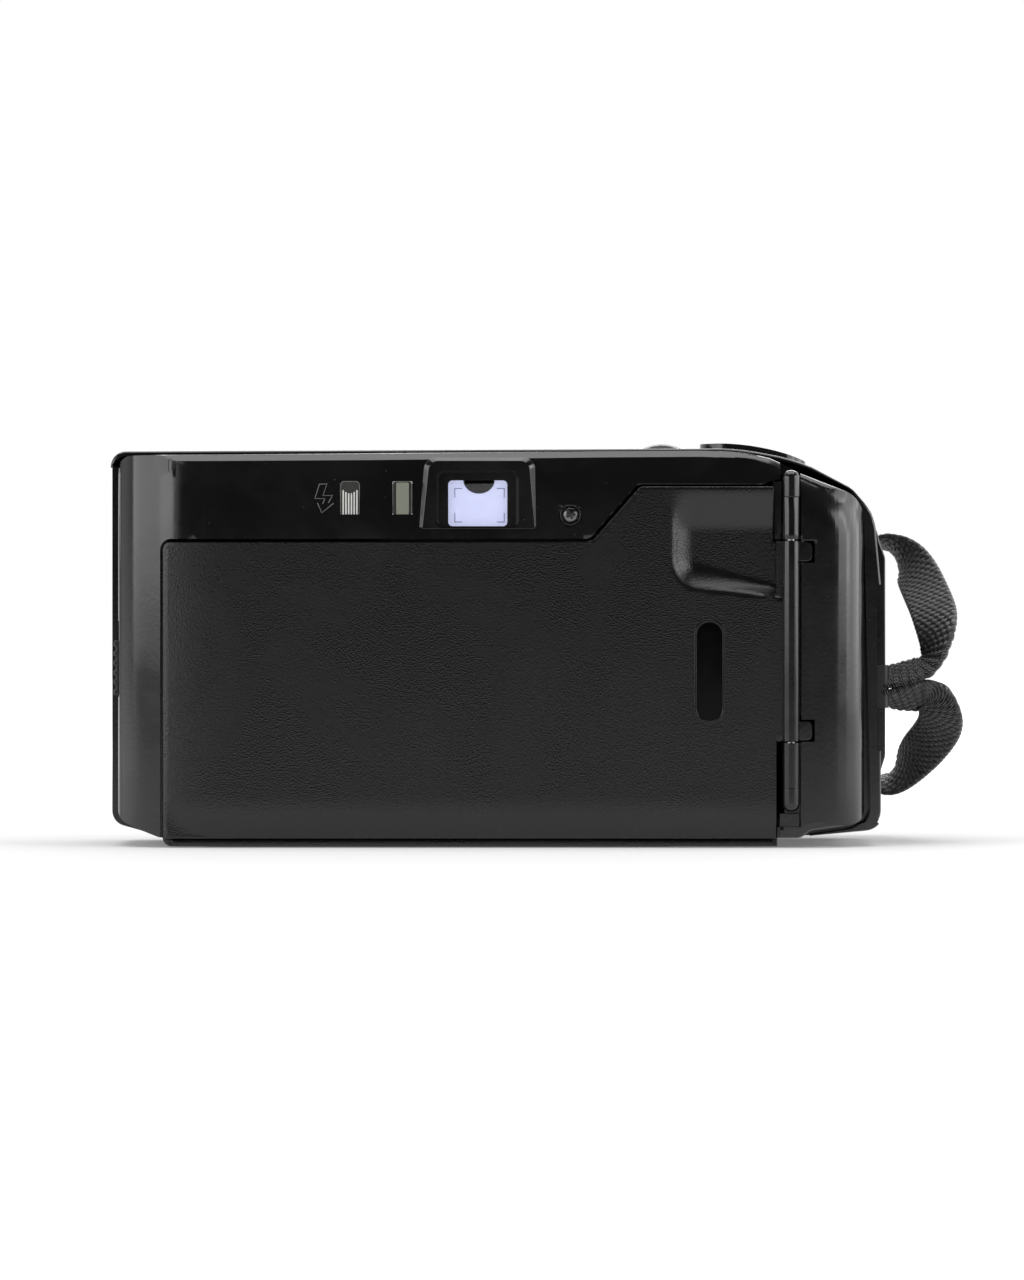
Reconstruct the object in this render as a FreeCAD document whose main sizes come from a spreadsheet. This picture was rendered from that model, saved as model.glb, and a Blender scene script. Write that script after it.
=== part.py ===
# A compact 35 mm film camera, seen by its photographer from behind.
# X runs to the photographer's right, Y away from the photographer, Z up. Millimetres.
# The origin is under the middle of the camera, on the surface that it stands on.
import FreeCAD, Part
import Sketcher
import math
import os

SIZES = [
    ("body_depth", "38", "rear face to front panel"),
    ("lens_rise", "10", "front panel to the tip of the lens ring"),
    ("knuckle_proud", "1.05", "hinge barrel behind the rear face"),
    ("body_left", "65.3", "left side from the lens axis"),
    ("body_right", "64.2", "right side from the lens axis"),
    ("finder_storey", "13.9", "top face above the chassis"),
    ("cell_head", "12.35", "top face above the battery cells"),
    ("bottom_edge", "1.4", "underside of the covers above the surface"),
    ("left_lift", "2.5", "rise of the underside at the left end"),
    ("right_lift", "1.5", "rise of the underside at the right end"),
    ("flat_left", "56.4", "left end of the flat underside"),
    ("shoulder_x", "45.2", "where the top starts to fall to the right"),
    ("shoulder_drop", "8.5", "fall of the top at the right side"),
    ("shoulder_round", "38", "radius over the shoulder"),
    ("side_round", "9", "radius at the top right corner"),
    ("low_round", "3.5", "radius at the bottom right corner"),
    ("left_round", "2.6", "radius at the left corners"),
    ("step_round", "1.6", "radius of the step beside the hinge"),
    ("cover_wall", "1.8", "wall of the covers"),
    ("front_edge", "2.2", "rounding of the front panel's edge"),
    ("rear_edge", "1.2", "rounding of the rear face's edge"),
    ("rear_cover_depth", "11.5", "rear face to the parting line"),
    ("rim_overlap", "4", "front cover's rim outside the rear cover"),
    ("rim_gap", "1.1", "shadow gap inside the rim"),
    ("ledge_depth", "3", "ledge that the rear cover's edge sits on"),
    ("rim_top", "1.8", "rear cover's top below the front cover's"),
    ("rim_left", "0.7", "rear cover's left side inside the front cover's"),
    ("rim_right", "3.5", "rear cover's right side inside the front cover's"),
    ("rear_fall", "6.5", "fall of the rear cover's top at its right side"),
    ("rear_round", "5", "rear cover's radius at its top right corner"),
    ("facet_left", "56", "where the left facet starts"),
    ("facet_depth", "7.2", "depth of the left facet"),
    ("end_round", "7.2", "radius of the rear cover's right end"),
    ("grip_left", "30.4", "left side of the grip"),
    ("grip_rise", "8.3", "grip in front of the front panel"),
    ("grip_head", "4.45", "top of the grip above the battery cells"),
    ("grip_round", "5", "radius at the grip's upper corners"),
    ("grip_edge", "2.4", "rounding of the grip's front edge"),
    ("bar_proud", "1.1", "strap bar outside the right side"),
    ("bar_low", "10", "lower foot of the strap bar"),
    ("bar_high", "53.5", "upper foot of the strap bar"),
    ("bar_wide", "5", "strap bar along the lens axis"),
    ("bar_slot_low", "16", "lower end of the slot behind the bar"),
    ("bar_slot_high", "44", "upper end of the slot behind the bar"),
    ("door_left", "56.2", "left edge of the film door"),
    ("door_right", "46.5", "right edge of the film door below its barrel"),
    ("door_right_high", "46", "right edge of the film door above its barrel"),
    ("door_low", "0.2", "lower edge of the film door above the surface"),
    ("door_top_drop", "1.3", "top of the film door at the left, below the top of the chassis"),
    ("door_top_rise", "7.8", "top of the film door at the right, above the chassis"),
    ("door_step", "15.5", "where the door's top edge starts to rise"),
    ("door_step_end", "23.5", "where the door's top edge is level again"),
    ("door_thick", "2", "film door's wall"),
    ("door_gap", "0.35", "gap round the film door"),
    ("door_round", "1.5", "film door's corner radius"),
    ("door_tight_round", "0.6", "film door's corner radius beside the hinge"),
    ("lip_depth", "4", "door's lower lip under the body"),
    ("lip_thick", "1.1", "wall of the door's lower lip"),
    ("hinge_x", "48.7", "hinge axis from the lens axis"),
    ("barrel_r", "1.45", "hinge barrel's radius"),
    ("pin_r", "0.7", "hinge pin's radius"),
    ("pin_fit", "0.05", "radial clearance of the hinge pin"),
    ("barrel_low", "17.7", "lower end of the door's barrel"),
    ("barrel_drop", "1.25", "upper end of the door's barrel, below the top of the chassis"),
    ("knuckle_low", "10", "lower end of the body's lower knuckle"),
    ("knuckle_rise", "6", "upper end of the body's upper knuckle, above the chassis"),
    ("cap_low", "6", "tip of the lower hinge cap"),
    ("cap_rise", "10.5", "tip of the upper hinge cap above the chassis"),
    ("knuckle_gap", "0.2", "gap between knuckles"),
    ("trough_right", "50.35", "right wall of the hinge trough"),
    ("trough_depth", "2.3", "depth of the hinge trough"),
    ("tab_reach", "3.5", "door's stop tabs beyond the hinge axis"),
    ("tab_tall", "3.2", "height of a stop tab"),
    ("tab_room", "0.45", "room round the swing of a stop tab"),
    ("film_z", "28.5", "centre of the picture above the surface"),
    ("gate_wide", "36", "picture width"),
    ("gate_tall", "24", "picture height"),
    ("film_width", "35", "film width"),
    ("film_depth", "3.8", "rear face to the film plane"),
    ("channel", "0.25", "film channel behind the rails"),
    ("rail_rise", "0.6", "rails above the aperture plate"),
    ("plate_thick", "0.6", "aperture plate"),
    ("chassis_left", "52.2", "left side of the chassis"),
    ("chassis_right", "48.9", "right side of the chassis"),
    ("chassis_back", "2.4", "rear face to the back of the chassis"),
    ("chassis_front", "5.9", "front of the chassis from the origin"),
    ("chassis_low", "3.5", "underside of the chassis"),
    ("chamber_head", "6.5", "top of the chassis above the film's edge"),
    ("chassis_floor", "1.5", "floor of the film chambers"),
    ("chassis_roof", "1", "roof of the film chambers"),
    ("cassette_x", "34.7", "cassette's axis from the lens axis"),
    ("cassette_y", "8", "cassette's axis behind the origin"),
    ("cassette_r", "12.8", "cassette chamber's radius"),
    ("nub_r", "6", "room for the cassette's hub"),
    ("spool_x", "39.2", "take-up spool's axis left of the lens axis"),
    ("spool_y", "9", "take-up spool's axis behind the origin"),
    ("spool_room", "12.3", "take-up chamber's radius"),
    ("spool_r", "7.5", "take-up spool's radius"),
    ("spool_flange", "11.6", "take-up spool's flange radius"),
    ("shaft_r", "2", "spool shaft's radius"),
    ("fit", "0.05", "radial clearance of a turning shaft"),
    ("sprocket_x", "25.6", "sprocket's axis left of the lens axis"),
    ("sprocket_teeth", "6", "perforations round the sprocket"),
    ("perforation", "4.75", "pitch of the film's perforations"),
    ("sprocket_tooth", "1.1", "sprocket tooth's height"),
    ("sprocket_row", "14.1", "perforation row from the picture's centre"),
    ("fork_r", "2.4", "rewind fork's shaft radius"),
    ("gear_module", "0.6", "gear module"),
    ("gear_thick", "2.4", "gear width"),
    ("gear_lift", "0.6", "gears above the chassis"),
    ("pinion_teeth", "10", "motor pinion's teeth"),
    ("idler_teeth", "14", "idler gear's teeth"),
    ("spool_teeth", "30", "spool gear's teeth"),
    ("motor_x", "56.9", "motor axis left of the lens axis"),
    ("motor_y", "5", "motor axis behind the origin"),
    ("motor_r", "4.5", "motor's radius"),
    ("motor_low", "16", "underside of the motor"),
    ("capacitor_y", "7", "flash capacitor's axis in front of the origin"),
    ("capacitor_r", "4.5", "flash capacitor's radius"),
    ("capacitor_low", "8", "underside of the flash capacitor"),
    ("capacitor_high", "44", "top of the flash capacitor"),
    ("eyepiece_x", "3.65", "eyepiece's axis left of the lens axis"),
    ("eyepiece_lift", "0.8", "lower edge of the eyepiece frame above the chassis"),
    ("eyepiece_drop", "3.6", "upper edge of the eyepiece frame below the finder storey's top"),
    ("eyepiece_wide", "13.9", "width of the eyepiece frame"),
    ("hood_rise", "0.6", "hood round the eyepiece above the rear face"),
    ("hood_drop", "2.1", "top of the hood below the finder storey's top"),
    ("hood_half_top", "7.75", "half the hood's width at its top"),
    ("hood_half_low", "9.65", "half the hood's width at its foot"),
    ("finder_wall", "1", "wall of the finder tube"),
    ("lamp_lift", "3.1", "lower edge of the lamp windows above the chassis"),
    ("lamp_drop", "5.3", "upper edge of the lamp windows below the finder storey's top"),
    ("flash_lamp_x", "24.9", "flash lamp window left of the lens axis"),
    ("focus_lamp_x", "16.1", "focus lamp window left of the lens axis"),
    ("lamp_wide", "3.3", "width of a lamp window"),
    ("screw_x", "11.9", "rear screw from the lens axis"),
    ("screw_lift", "3", "rear screw above the chassis"),
    ("screw_head_r", "1.35", "small screw's head radius"),
    ("screw_body_r", "0.7", "small screw's body radius"),
    ("screw_well_r", "1.85", "radius of the well round the rear screw"),
    ("window_x", "35.1", "cassette window from the lens axis"),
    ("window_z", "29.4", "cassette window above the surface"),
    ("window_tall", "17.5", "height of the cassette window's slot"),
    ("window_wide", "5.3", "width of the cassette window's slot"),
    ("window_rim", "0.5", "rim of the cassette window"),
    ("recess_left", "29.1", "left edge of the thumb recess"),
    ("recess_lift", "4.25", "lower edge of the thumb recess above the cassette window"),
    ("recess_drop", "3.3", "upper edge of the thumb recess below the door's top"),
    ("recess_depth", "1.9", "depth of the thumb recess"),
    ("recess_slope", "4.4", "width of the thumb recess's sloping walls"),
    ("bulge", "0.6", "door wall's bulge behind the thumb recess"),
    ("counter_x", "27.7", "counter window from the lens axis"),
    ("counter_y", "3.5", "counter window behind the origin"),
    ("counter_r", "5.15", "counter window's radius"),
    ("counter_rise", "2", "counter window above the top face"),
    ("dial_r", "4", "counter dial's radius"),
    ("button_x", "43.3", "release button from the lens axis"),
    ("button_long", "18", "release button's length"),
    ("button_wide", "11", "release button's width"),
    ("button_rise", "1.7", "release button above the top face"),
    ("button_gap", "0.3", "gap round a button"),
    ("spring_wire", "0.35", "wire radius of the small springs"),
    ("lens_r", "17", "lens ring's radius at the front panel"),
    ("lens_tip_r", "15", "lens ring's radius at its tip"),
    ("lens_bore", "10.2", "bore of the lens ring"),
    ("cell_r", "10.1", "lens cell's radius"),
    ("cell_travel", "1", "lens cell's focusing travel"),
    ("front_glass_r", "7", "front lens element's radius"),
    ("rear_glass_r", "5.5", "rear lens element's radius"),
    ("shutter_r", "14.5", "shutter unit's radius"),
    ("shutter_depth", "5.4", "shutter unit's depth"),
    ("flash_left", "61", "left edge of the flash window"),
    ("flash_right", "38", "right edge of the flash window, left of the lens axis"),
    ("flash_tall", "11", "height of the flash window"),
    ("flash_drop", "4.9", "upper edge of the flash window below the top face"),
    ("cell_radius", "7.2", "battery cell's radius"),
    ("cell_low", "4.05", "underside of the battery cells"),
    ("cell_tall", "50", "height of a battery cell"),
    ("cell_y", "13.5", "battery cells' axis in front of the origin"),
    ("outer_cell_x", "54.8", "outer battery cell's axis"),
    ("inner_cell_x", "40", "inner battery cell's axis"),
    ("hatch_left", "33", "left edge of the battery door"),
    ("hatch_right", "62.4", "right edge of the battery door"),
    ("hatch_back", "6.6", "rear edge of the battery door"),
    ("hatch_front", "21.2", "front edge of the battery door"),
    ("hatch_thick", "1.6", "battery door's wall"),
    ("hatch_drop", "0.8", "battery door below the covers"),
    ("base_left", "50", "left edge of the base plate"),
    ("base_right", "30", "right edge of the base plate"),
    ("base_back", "18", "rear edge of the base plate, behind the origin"),
    ("base_front", "12", "front edge of the base plate"),
    ("tripod_r", "2.55", "tripod thread's minor radius"),
    ("tripod_length", "5", "tripod thread's length"),
    ("tripod_wall_r", "4.5", "tripod bush's radius"),
    ("tripod_flange_r", "6.5", "tripod bush's flange radius"),
    ("board_thick", "0.8", "circuit board"),
    ("latch_z", "30", "latch above the surface"),
    ("latch_travel", "3", "latch's travel"),
    ("webbing", "8", "strap's width"),
    ("webbing_thick", "1.3", "strap's thickness"),
]

# Levels that follow from the sizes: the film sets the chassis, the finder stands on it, and the
# body is as tall as the finder or the battery cells need.
LEVELS = [
    ("chassis_high", "film_z + film_width / 2 + chamber_head"),
    ("finder_top", "chassis_high + finder_storey"),
    ("cell_top", "cell_low + cell_tall"),
    ("body_top", "max(finder_top; cell_top + cell_head)"),
    ("grip_top", "cell_top + grip_head"),
    ("door_top", "chassis_high - door_top_drop"),
    ("door_top_high", "chassis_high + door_top_rise"),
    ("barrel_high", "chassis_high - barrel_drop"),
    ("knuckle_high", "chassis_high + knuckle_rise"),
    ("cap_high", "chassis_high + cap_rise"),
    ("eyepiece_low", "chassis_high + eyepiece_lift"),
    ("eyepiece_high", "finder_top - eyepiece_drop"),
    ("hood_top", "finder_top - hood_drop"),
    ("lamp_low", "chassis_high + lamp_lift"),
    ("lamp_high", "finder_top - lamp_drop"),
    ("screw_z", "chassis_high + screw_lift"),
    ("recess_low", "window_z + window_tall / 2 + recess_lift"),
    ("recess_high", "door_top_high - recess_drop"),
    ("flash_high", "body_top - flash_drop"),
    ("flash_low", "flash_high - flash_tall"),
]


class Size(float):
    """A number in millimetres that keeps the sheet expression it comes from."""

    def __new__(cls, value, text):
        made = super().__new__(cls, value)
        made.text = text
        return made

    def __add__(self, other):
        return Size(float(self) + float(other), "(%s + %s)" % (self.text, text_of(other)))

    def __radd__(self, other):
        return Size(float(other) + float(self), "(%s + %s)" % (text_of(other), self.text))

    def __sub__(self, other):
        return Size(float(self) - float(other), "(%s - %s)" % (self.text, text_of(other)))

    def __rsub__(self, other):
        return Size(float(other) - float(self), "(%s - %s)" % (text_of(other), self.text))

    def __mul__(self, other):
        return Size(float(self) * float(other), "(%s * %s)" % (self.text, text_of(other)))

    def __rmul__(self, other):
        return Size(float(other) * float(self), "(%s * %s)" % (text_of(other), self.text))

    def __truediv__(self, other):
        return Size(float(self) / float(other), "(%s / %s)" % (self.text, text_of(other)))

    def __neg__(self):
        return Size(-float(self), "(0 - %s)" % self.text)


def text_of(amount):
    return amount.text if isinstance(amount, Size) else "%.9g" % amount


def root(amount):
    return Size(math.sqrt(amount), "sqrt(%s)" % amount.text)


doc = FreeCAD.newDocument("FilmCamera")
sheet = doc.addObject("Spreadsheet::Sheet", "Sizes")


class Sheet:
    """The driving sizes and the levels that follow from them, by name."""


s = Sheet()
for row, (alias, amount, meaning) in enumerate(SIZES, start=1):
    sheet.set("A%d" % row, amount)
    sheet.setAlias("A%d" % row, alias)
    sheet.set("B%d" % row, meaning)
for row, (alias, formula) in enumerate(LEVELS, start=len(SIZES) + 1):
    sheet.set("A%d" % row, "=" + formula)
    sheet.setAlias("A%d" % row, alias)
doc.recompute()
for alias in [entry[0] for entry in SIZES + LEVELS]:
    setattr(s, alias, Size(float(sheet.get(alias)), "Sizes." + alias))

vec = FreeCAD.Vector
TURNS = {
    "Z": FreeCAD.Rotation(),
    "-Z": FreeCAD.Rotation(vec(1, 0, 0), 180),
    "Y": FreeCAD.Rotation(vec(1, 0, 0), -90),
    "-Y": FreeCAD.Rotation(vec(1, 0, 0), 90),
    "X": FreeCAD.Rotation(vec(0, 1, 0), 90),
    "-X": FreeCAD.Rotation(vec(0, 1, 0), -90),
}
PLANES = {"XY": ("XY_Plane", "Z"), "XZ": ("XZ_Plane", "-Y"), "YZ": ("YZ_Plane", "X")}
PLANE_TURNS = {
    "XY": FreeCAD.Rotation(),
    "XZ": FreeCAD.Rotation(vec(1, 0, 0), 90),
    "YZ": FreeCAD.Rotation(vec(1, 1, 1), 120),
}
nodes = []


def bind(thing, prop, amount):
    thing.setExpression(prop, text_of(amount))


def add(kind, name):
    made = doc.addObject(kind, name)
    made.Label = made.Name
    return made


def move(thing, at, turn=None):
    if turn is not None:
        thing.Placement = FreeCAD.Placement(vec(), turn)
    for axis, amount in zip("xyz", at):
        bind(thing, "Placement.Base." + axis, amount)
    return thing


def node(name, thing):
    """Names a finished sub-part, which names its file."""
    thing.Label = name
    nodes.append(thing)
    return thing


def box(name, x, y, z):
    made = add("Part::Box", name)
    for prop, (low, high) in zip(("Length", "Width", "Height"), (x, y, z)):
        bind(made, prop, high - low)
    return move(made, (x[0], y[0], z[0]))


def rod(name, at, radius, length, axis="Z"):
    made = add("Part::Cylinder", name)
    bind(made, "Radius", radius)
    bind(made, "Height", length)
    return move(made, at, TURNS[axis])


def fuse(name, *things):
    made = add("Part::MultiFuse", name)
    made.Shapes = list(things)
    made.Refine = True
    return made


def common(name, *things):
    made = add("Part::MultiCommon", name)
    made.Shapes = list(things)
    return made


def cut(name, base, *tools):
    made = add("Part::Cut", name)
    made.Base = base
    made.Tool = tools[0] if len(tools) == 1 else fuse(name + "_tools", *tools)
    return made


def group(name, things):
    made = add("Part::Compound", name)
    made.Links = list(things)
    return made


def corner_arc(before, at, after, radius):
    """Start, middle and end of the arc that rounds a corner of an outline."""
    to_before = (before - at).normalize()
    to_after = (after - at).normalize()
    half = to_before.getAngle(to_after) / 2
    reach = radius / math.tan(half)
    start = at + to_before * reach
    end = at + to_after * reach
    inward = (to_before + to_after).normalize()
    centre = at + inward * (radius / math.sin(half))
    return start, centre - inward * radius, end


def draw(sketch, outline):
    """Draws one closed outline. A corner is (u, v) or (u, v, radius), and one corner alone is a
    circle. Every place and radius is bound to the sheet."""
    if len(outline) == 1:
        u, v, radius = outline[0]
        ring = sketch.addGeometry(Part.Circle(vec(u, v, 0), vec(0, 0, 1), radius), False)
        pin(sketch, ring, 3, u, v)
        measure(sketch, Sketcher.Constraint("Radius", ring, float(radius)), radius)
        return
    points = [vec(corner[0], corner[1], 0) for corner in outline]
    count = len(points)
    arcs = {}
    for i, corner in enumerate(outline):
        if len(corner) == 3:
            arcs[i] = corner_arc(points[i - 1], points[i], points[(i + 1) % count], float(corner[2]))
    lines = []
    for i in range(count):
        after = (i + 1) % count
        start = arcs[i][2] if i in arcs else points[i]
        end = arcs[after][0] if after in arcs else points[after]
        lines.append(sketch.addGeometry(Part.LineSegment(start, end), False))
    for i, corner in enumerate(outline):
        if i not in arcs:
            sketch.addConstraint(Sketcher.Constraint("Coincident", lines[i - 1], 2, lines[i], 1))
            pin(sketch, lines[i], 1, corner[0], corner[1])
            continue
        start, middle, end = arcs[i]
        leftward = ((middle - start).cross(end - middle)).z > 0
        ends = (start, end) if leftward else (end, start)
        arc = sketch.addGeometry(Part.Arc(ends[0], middle, ends[1]), False)
        from_end, to_end = (1, 2) if leftward else (2, 1)
        sketch.addConstraint(Sketcher.Constraint("Tangent", lines[i - 1], 2, arc, from_end))
        sketch.addConstraint(Sketcher.Constraint("Tangent", arc, to_end, lines[i], 1))
        mark = sketch.addGeometry(Part.Point(points[i]), True)
        pin(sketch, mark, 1, corner[0], corner[1])
        sketch.addConstraint(Sketcher.Constraint("PointOnObject", mark, 1, lines[i - 1]))
        sketch.addConstraint(Sketcher.Constraint("PointOnObject", mark, 1, lines[i]))
        measure(sketch, Sketcher.Constraint("Radius", arc, float(corner[2])), corner[2])


def pin(sketch, item, end, u, v):
    """Ties a point to its two coordinates."""
    for kind, amount, axis in (("DistanceX", u, -2), ("DistanceY", v, -1)):
        if not isinstance(amount, Size) and amount == 0:
            sketch.addConstraint(Sketcher.Constraint("PointOnObject", item, end, axis))
        else:
            measure(sketch, Sketcher.Constraint(kind, item, end, float(amount)), amount)


def measure(sketch, constraint, amount):
    index = sketch.addConstraint(constraint)
    sketch.setExpression("Constraints[%d]" % index, text_of(amount))


def flat(name, plane, *outlines):
    """A free sketch on one of the three planes through the origin."""
    sketch = add("Sketcher::SketchObject", name)
    sketch.Placement = FreeCAD.Placement(vec(), PLANE_TURNS[plane])
    for outline in outlines:
        draw(sketch, outline)
    return sketch


def offset(name, sketch, amount):
    made = add("Part::Offset2D", name)
    made.Source = sketch
    bind(made, "Value", amount)
    return made


def extrude(name, profile, plane, start, length):
    """A free profile made solid from start along the plane's positive axis."""
    made = add("Part::Extrusion", name)
    made.Base = profile
    made.DirMode = "Custom"
    made.Dir = {"XY": vec(0, 0, 1), "XZ": vec(0, 1, 0), "YZ": vec(1, 0, 0)}[plane]
    made.Solid = True
    bind(made, "LengthFwd", length)
    axis = {"XY": "z", "XZ": "y", "YZ": "x"}[plane]
    bind(made, "Placement.Base." + axis, start)
    return made


def body_sketch(body, plane, start, outlines):
    sketch = body.newObject("Sketcher::SketchObject", body.Name + "_outline")
    role, normal = PLANES[plane]
    origin = [f for f in body.Origin.OriginFeatures if f.Role == role][0]
    sketch.AttachmentSupport = [(origin, "")]
    sketch.MapMode = "FlatFace"
    bind(sketch, "AttachmentOffset.Base.z", -start if normal == "-Y" else start)
    for outline in outlines:
        draw(sketch, outline)
    return sketch


def prism(name, plane, start, length, *outlines):
    """A padded outline with its holes, from start along the plane's positive axis."""
    body = add("PartDesign::Body", name)
    pad = body.newObject("PartDesign::Pad", name + "_pad")
    pad.Profile = body_sketch(body, plane, start * 1.0, outlines)
    pad.Reversed = plane == "XZ"
    bind(pad, "Length", length)
    body.Tip = pad
    return body


def turned(name, at, axis, *outlines):
    """A turned piece: its outline is in radius and height along the axis."""
    body = add("PartDesign::Body", name)
    revolution = body.newObject("PartDesign::Revolution", name + "_turn")
    sketch = body_sketch(body, "XZ", 0, outlines)
    revolution.Profile = sketch
    revolution.ReferenceAxis = (sketch, ["V_Axis"])
    revolution.Angle = 360
    body.Tip = revolution
    return move(body, at, TURNS[axis])


def edges_where(thing, test):
    doc.recompute()
    return [i for i, edge in enumerate(thing.Shape.Edges, start=1) if test(edge)]


def soften(name, thing, radius, test):
    """Rounds the edges that the test picks."""
    made = add("Part::Fillet", name)
    made.Base = thing
    made.Edges = [(i, float(radius), float(radius)) for i in edges_where(thing, test)]
    return made


def at_y(place):
    return lambda edge: abs(edge.BoundBox.YMin - place) < 1e-4 and abs(edge.BoundBox.YMax - place) < 1e-4


def along(axis):
    """Picks straight edges along an axis."""
    def test(edge):
        room = edge.BoundBox
        spans = {"X": room.XLength, "Y": room.YLength, "Z": room.ZLength}
        return all((span > 1e-4) == (name == axis) for name, span in spans.items())
    return test


def slot(x, z, wide, tall):
    """Outline of an upright slot with round ends."""
    r = wide / 2
    return [(x - r, z - tall / 2, r * 0.98), (x + r, z - tall / 2, r * 0.98),
            (x + r, z + tall / 2, r * 0.98), (x - r, z + tall / 2, r * 0.98)]


def oblong(left, right, low, high, radius):
    return [(left, low, radius), (right, low, radius), (right, high, radius), (left, high, radius)]


# Places that several sub-assemblies share
rear = -(s.body_depth + s.lens_rise - s.knuckle_proud) / 2
front = rear + s.body_depth
lens_tip = front + s.lens_rise
parting = rear + s.rear_cover_depth
rim_back = parting - s.rim_overlap
ledge = parting + s.ledge_depth
door_inner = rear + s.door_thick
chassis_back = rear + s.chassis_back
hinge_y = rear - s.knuckle_proud + s.barrel_r
film_y = rear + s.film_depth
rear_top = s.body_top - s.rim_top
rear_left = s.body_left - s.rim_left
rear_right = s.body_right - s.rim_right
clear = 0.3
aperture_back = film_y + s.rail_rise + s.plate_thick
plate_half = s.film_width / 2 + 0.8
gate_room_left = s.gate_wide / 2 + 1.4
gate_room_right = s.gate_wide / 2 + 3.2
plate_back = film_y - s.channel - 1.0
sprocket_r = s.perforation * s.sprocket_teeth / (2 * math.pi)
sprocket_tip = sprocket_r + s.sprocket_tooth
sprocket_y = film_y + sprocket_r
spool_height = s.chassis_high - s.chassis_roof - s.chassis_low
gear_low = s.chassis_high + s.gear_lift
motor_high = s.chassis_high - 1.5
chassis_cassette_front = s.cassette_r - s.cassette_y
switch_top = s.chassis_high + 4.0
latch_y = (parting + rear + s.facet_depth) / 2
bar_y = -2.0
rewind_x, rewind_y = 20.0, 9.0
timer_button_x, timer_button_y = -22.0, 2.0
timer_lamp_x = -28.0


def mesh_place():
    """The idler's axis, from the centre distances of its two meshes."""
    across = s.motor_x - s.spool_x
    along_y = s.motor_y - s.spool_y
    apart = root(across * across + along_y * along_y)
    near = s.gear_module * (s.pinion_teeth + s.idler_teeth) / 2
    far = s.gear_module * (s.spool_teeth + s.idler_teeth) / 2
    ahead = (near * near - far * far + apart * apart) / (apart * 2)
    aside = root(near * near - ahead * ahead)
    x = -s.motor_x + (ahead * across - aside * along_y) / apart
    y = -s.motor_y + (ahead * along_y + aside * across) / apart
    return x, y


def mesh_turn(turn, teeth, at, other_teeth, other_at):
    """The turn of another gear whose tooth lies in this gear's tooth space."""
    towards = math.degrees(math.atan2(other_at[1] - at[1], other_at[0] - at[0]))
    phase = (towards - turn) * teeth / 360
    return towards + 180 - (0.5 - phase) * 360 / other_teeth


idler_x, idler_y = mesh_place()
idler_turn = mesh_turn(0, s.spool_teeth, (-s.spool_x, -s.spool_y), s.idler_teeth, (idler_x, idler_y))
pinion_turn = mesh_turn(idler_turn, s.idler_teeth, (idler_x, idler_y), s.pinion_teeth,
                        (-s.motor_x, -s.motor_y))


def body_outline():
    return [
        (-s.body_left, s.bottom_edge + s.left_lift, s.left_round),
        (-s.flat_left, s.bottom_edge, s.low_round),
        (s.hinge_x, s.bottom_edge, s.low_round),
        (s.body_right, s.bottom_edge + s.right_lift, s.low_round),
        (s.body_right, s.body_top - s.shoulder_drop, s.side_round),
        (s.shoulder_x, s.body_top, s.shoulder_round),
        (-s.body_left, s.body_top, s.left_round),
    ]


def rear_outline():
    """The rear cover seen from behind, inside the front cover's rim."""
    return [
        (-rear_left, s.bottom_edge + s.left_lift + s.rim_left, s.left_round),
        (-s.flat_left, s.bottom_edge + 0.2, s.low_round),
        (s.trough_right, s.bottom_edge + 0.2, s.step_round),
        (s.trough_right + 1.6, s.bottom_edge + s.right_lift, s.step_round),
        (rear_right, s.bottom_edge + s.right_lift + 1.3, s.left_round),
        (rear_right, rear_top - s.rear_fall, s.rear_round),
        (s.shoulder_x - 0.7, rear_top, s.shoulder_round),
        (-rear_left, rear_top, s.left_round),
    ]


def rear_plan(end):
    """The rear cover seen from above: a long facet at the left, a full round at the right."""
    return [
        (-rear_left, end),
        (-rear_left, rear + s.facet_depth, 3.0),
        (-s.facet_left, rear, 5.0),
        (rear_right, rear, s.end_round),
        (rear_right, end),
    ]


def door_outline(gap):
    """The film door's outline, or its opening when it is given a gap."""
    return [
        (-s.door_left - gap, s.door_low - gap, s.door_round + gap),
        (s.door_right + gap, s.door_low - gap),
        (s.door_right + gap, s.barrel_low),
        (s.door_right_high + gap, s.barrel_high),
        (s.door_right_high + gap, s.door_top_high + gap, s.door_tight_round + gap),
        (s.door_step_end - gap, s.door_top_high + gap, s.door_round + gap),
        (s.door_step - gap, s.door_top + gap, s.door_round + gap),
        (-s.door_left - gap, s.door_top + gap, s.door_round + gap),
    ]


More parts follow.
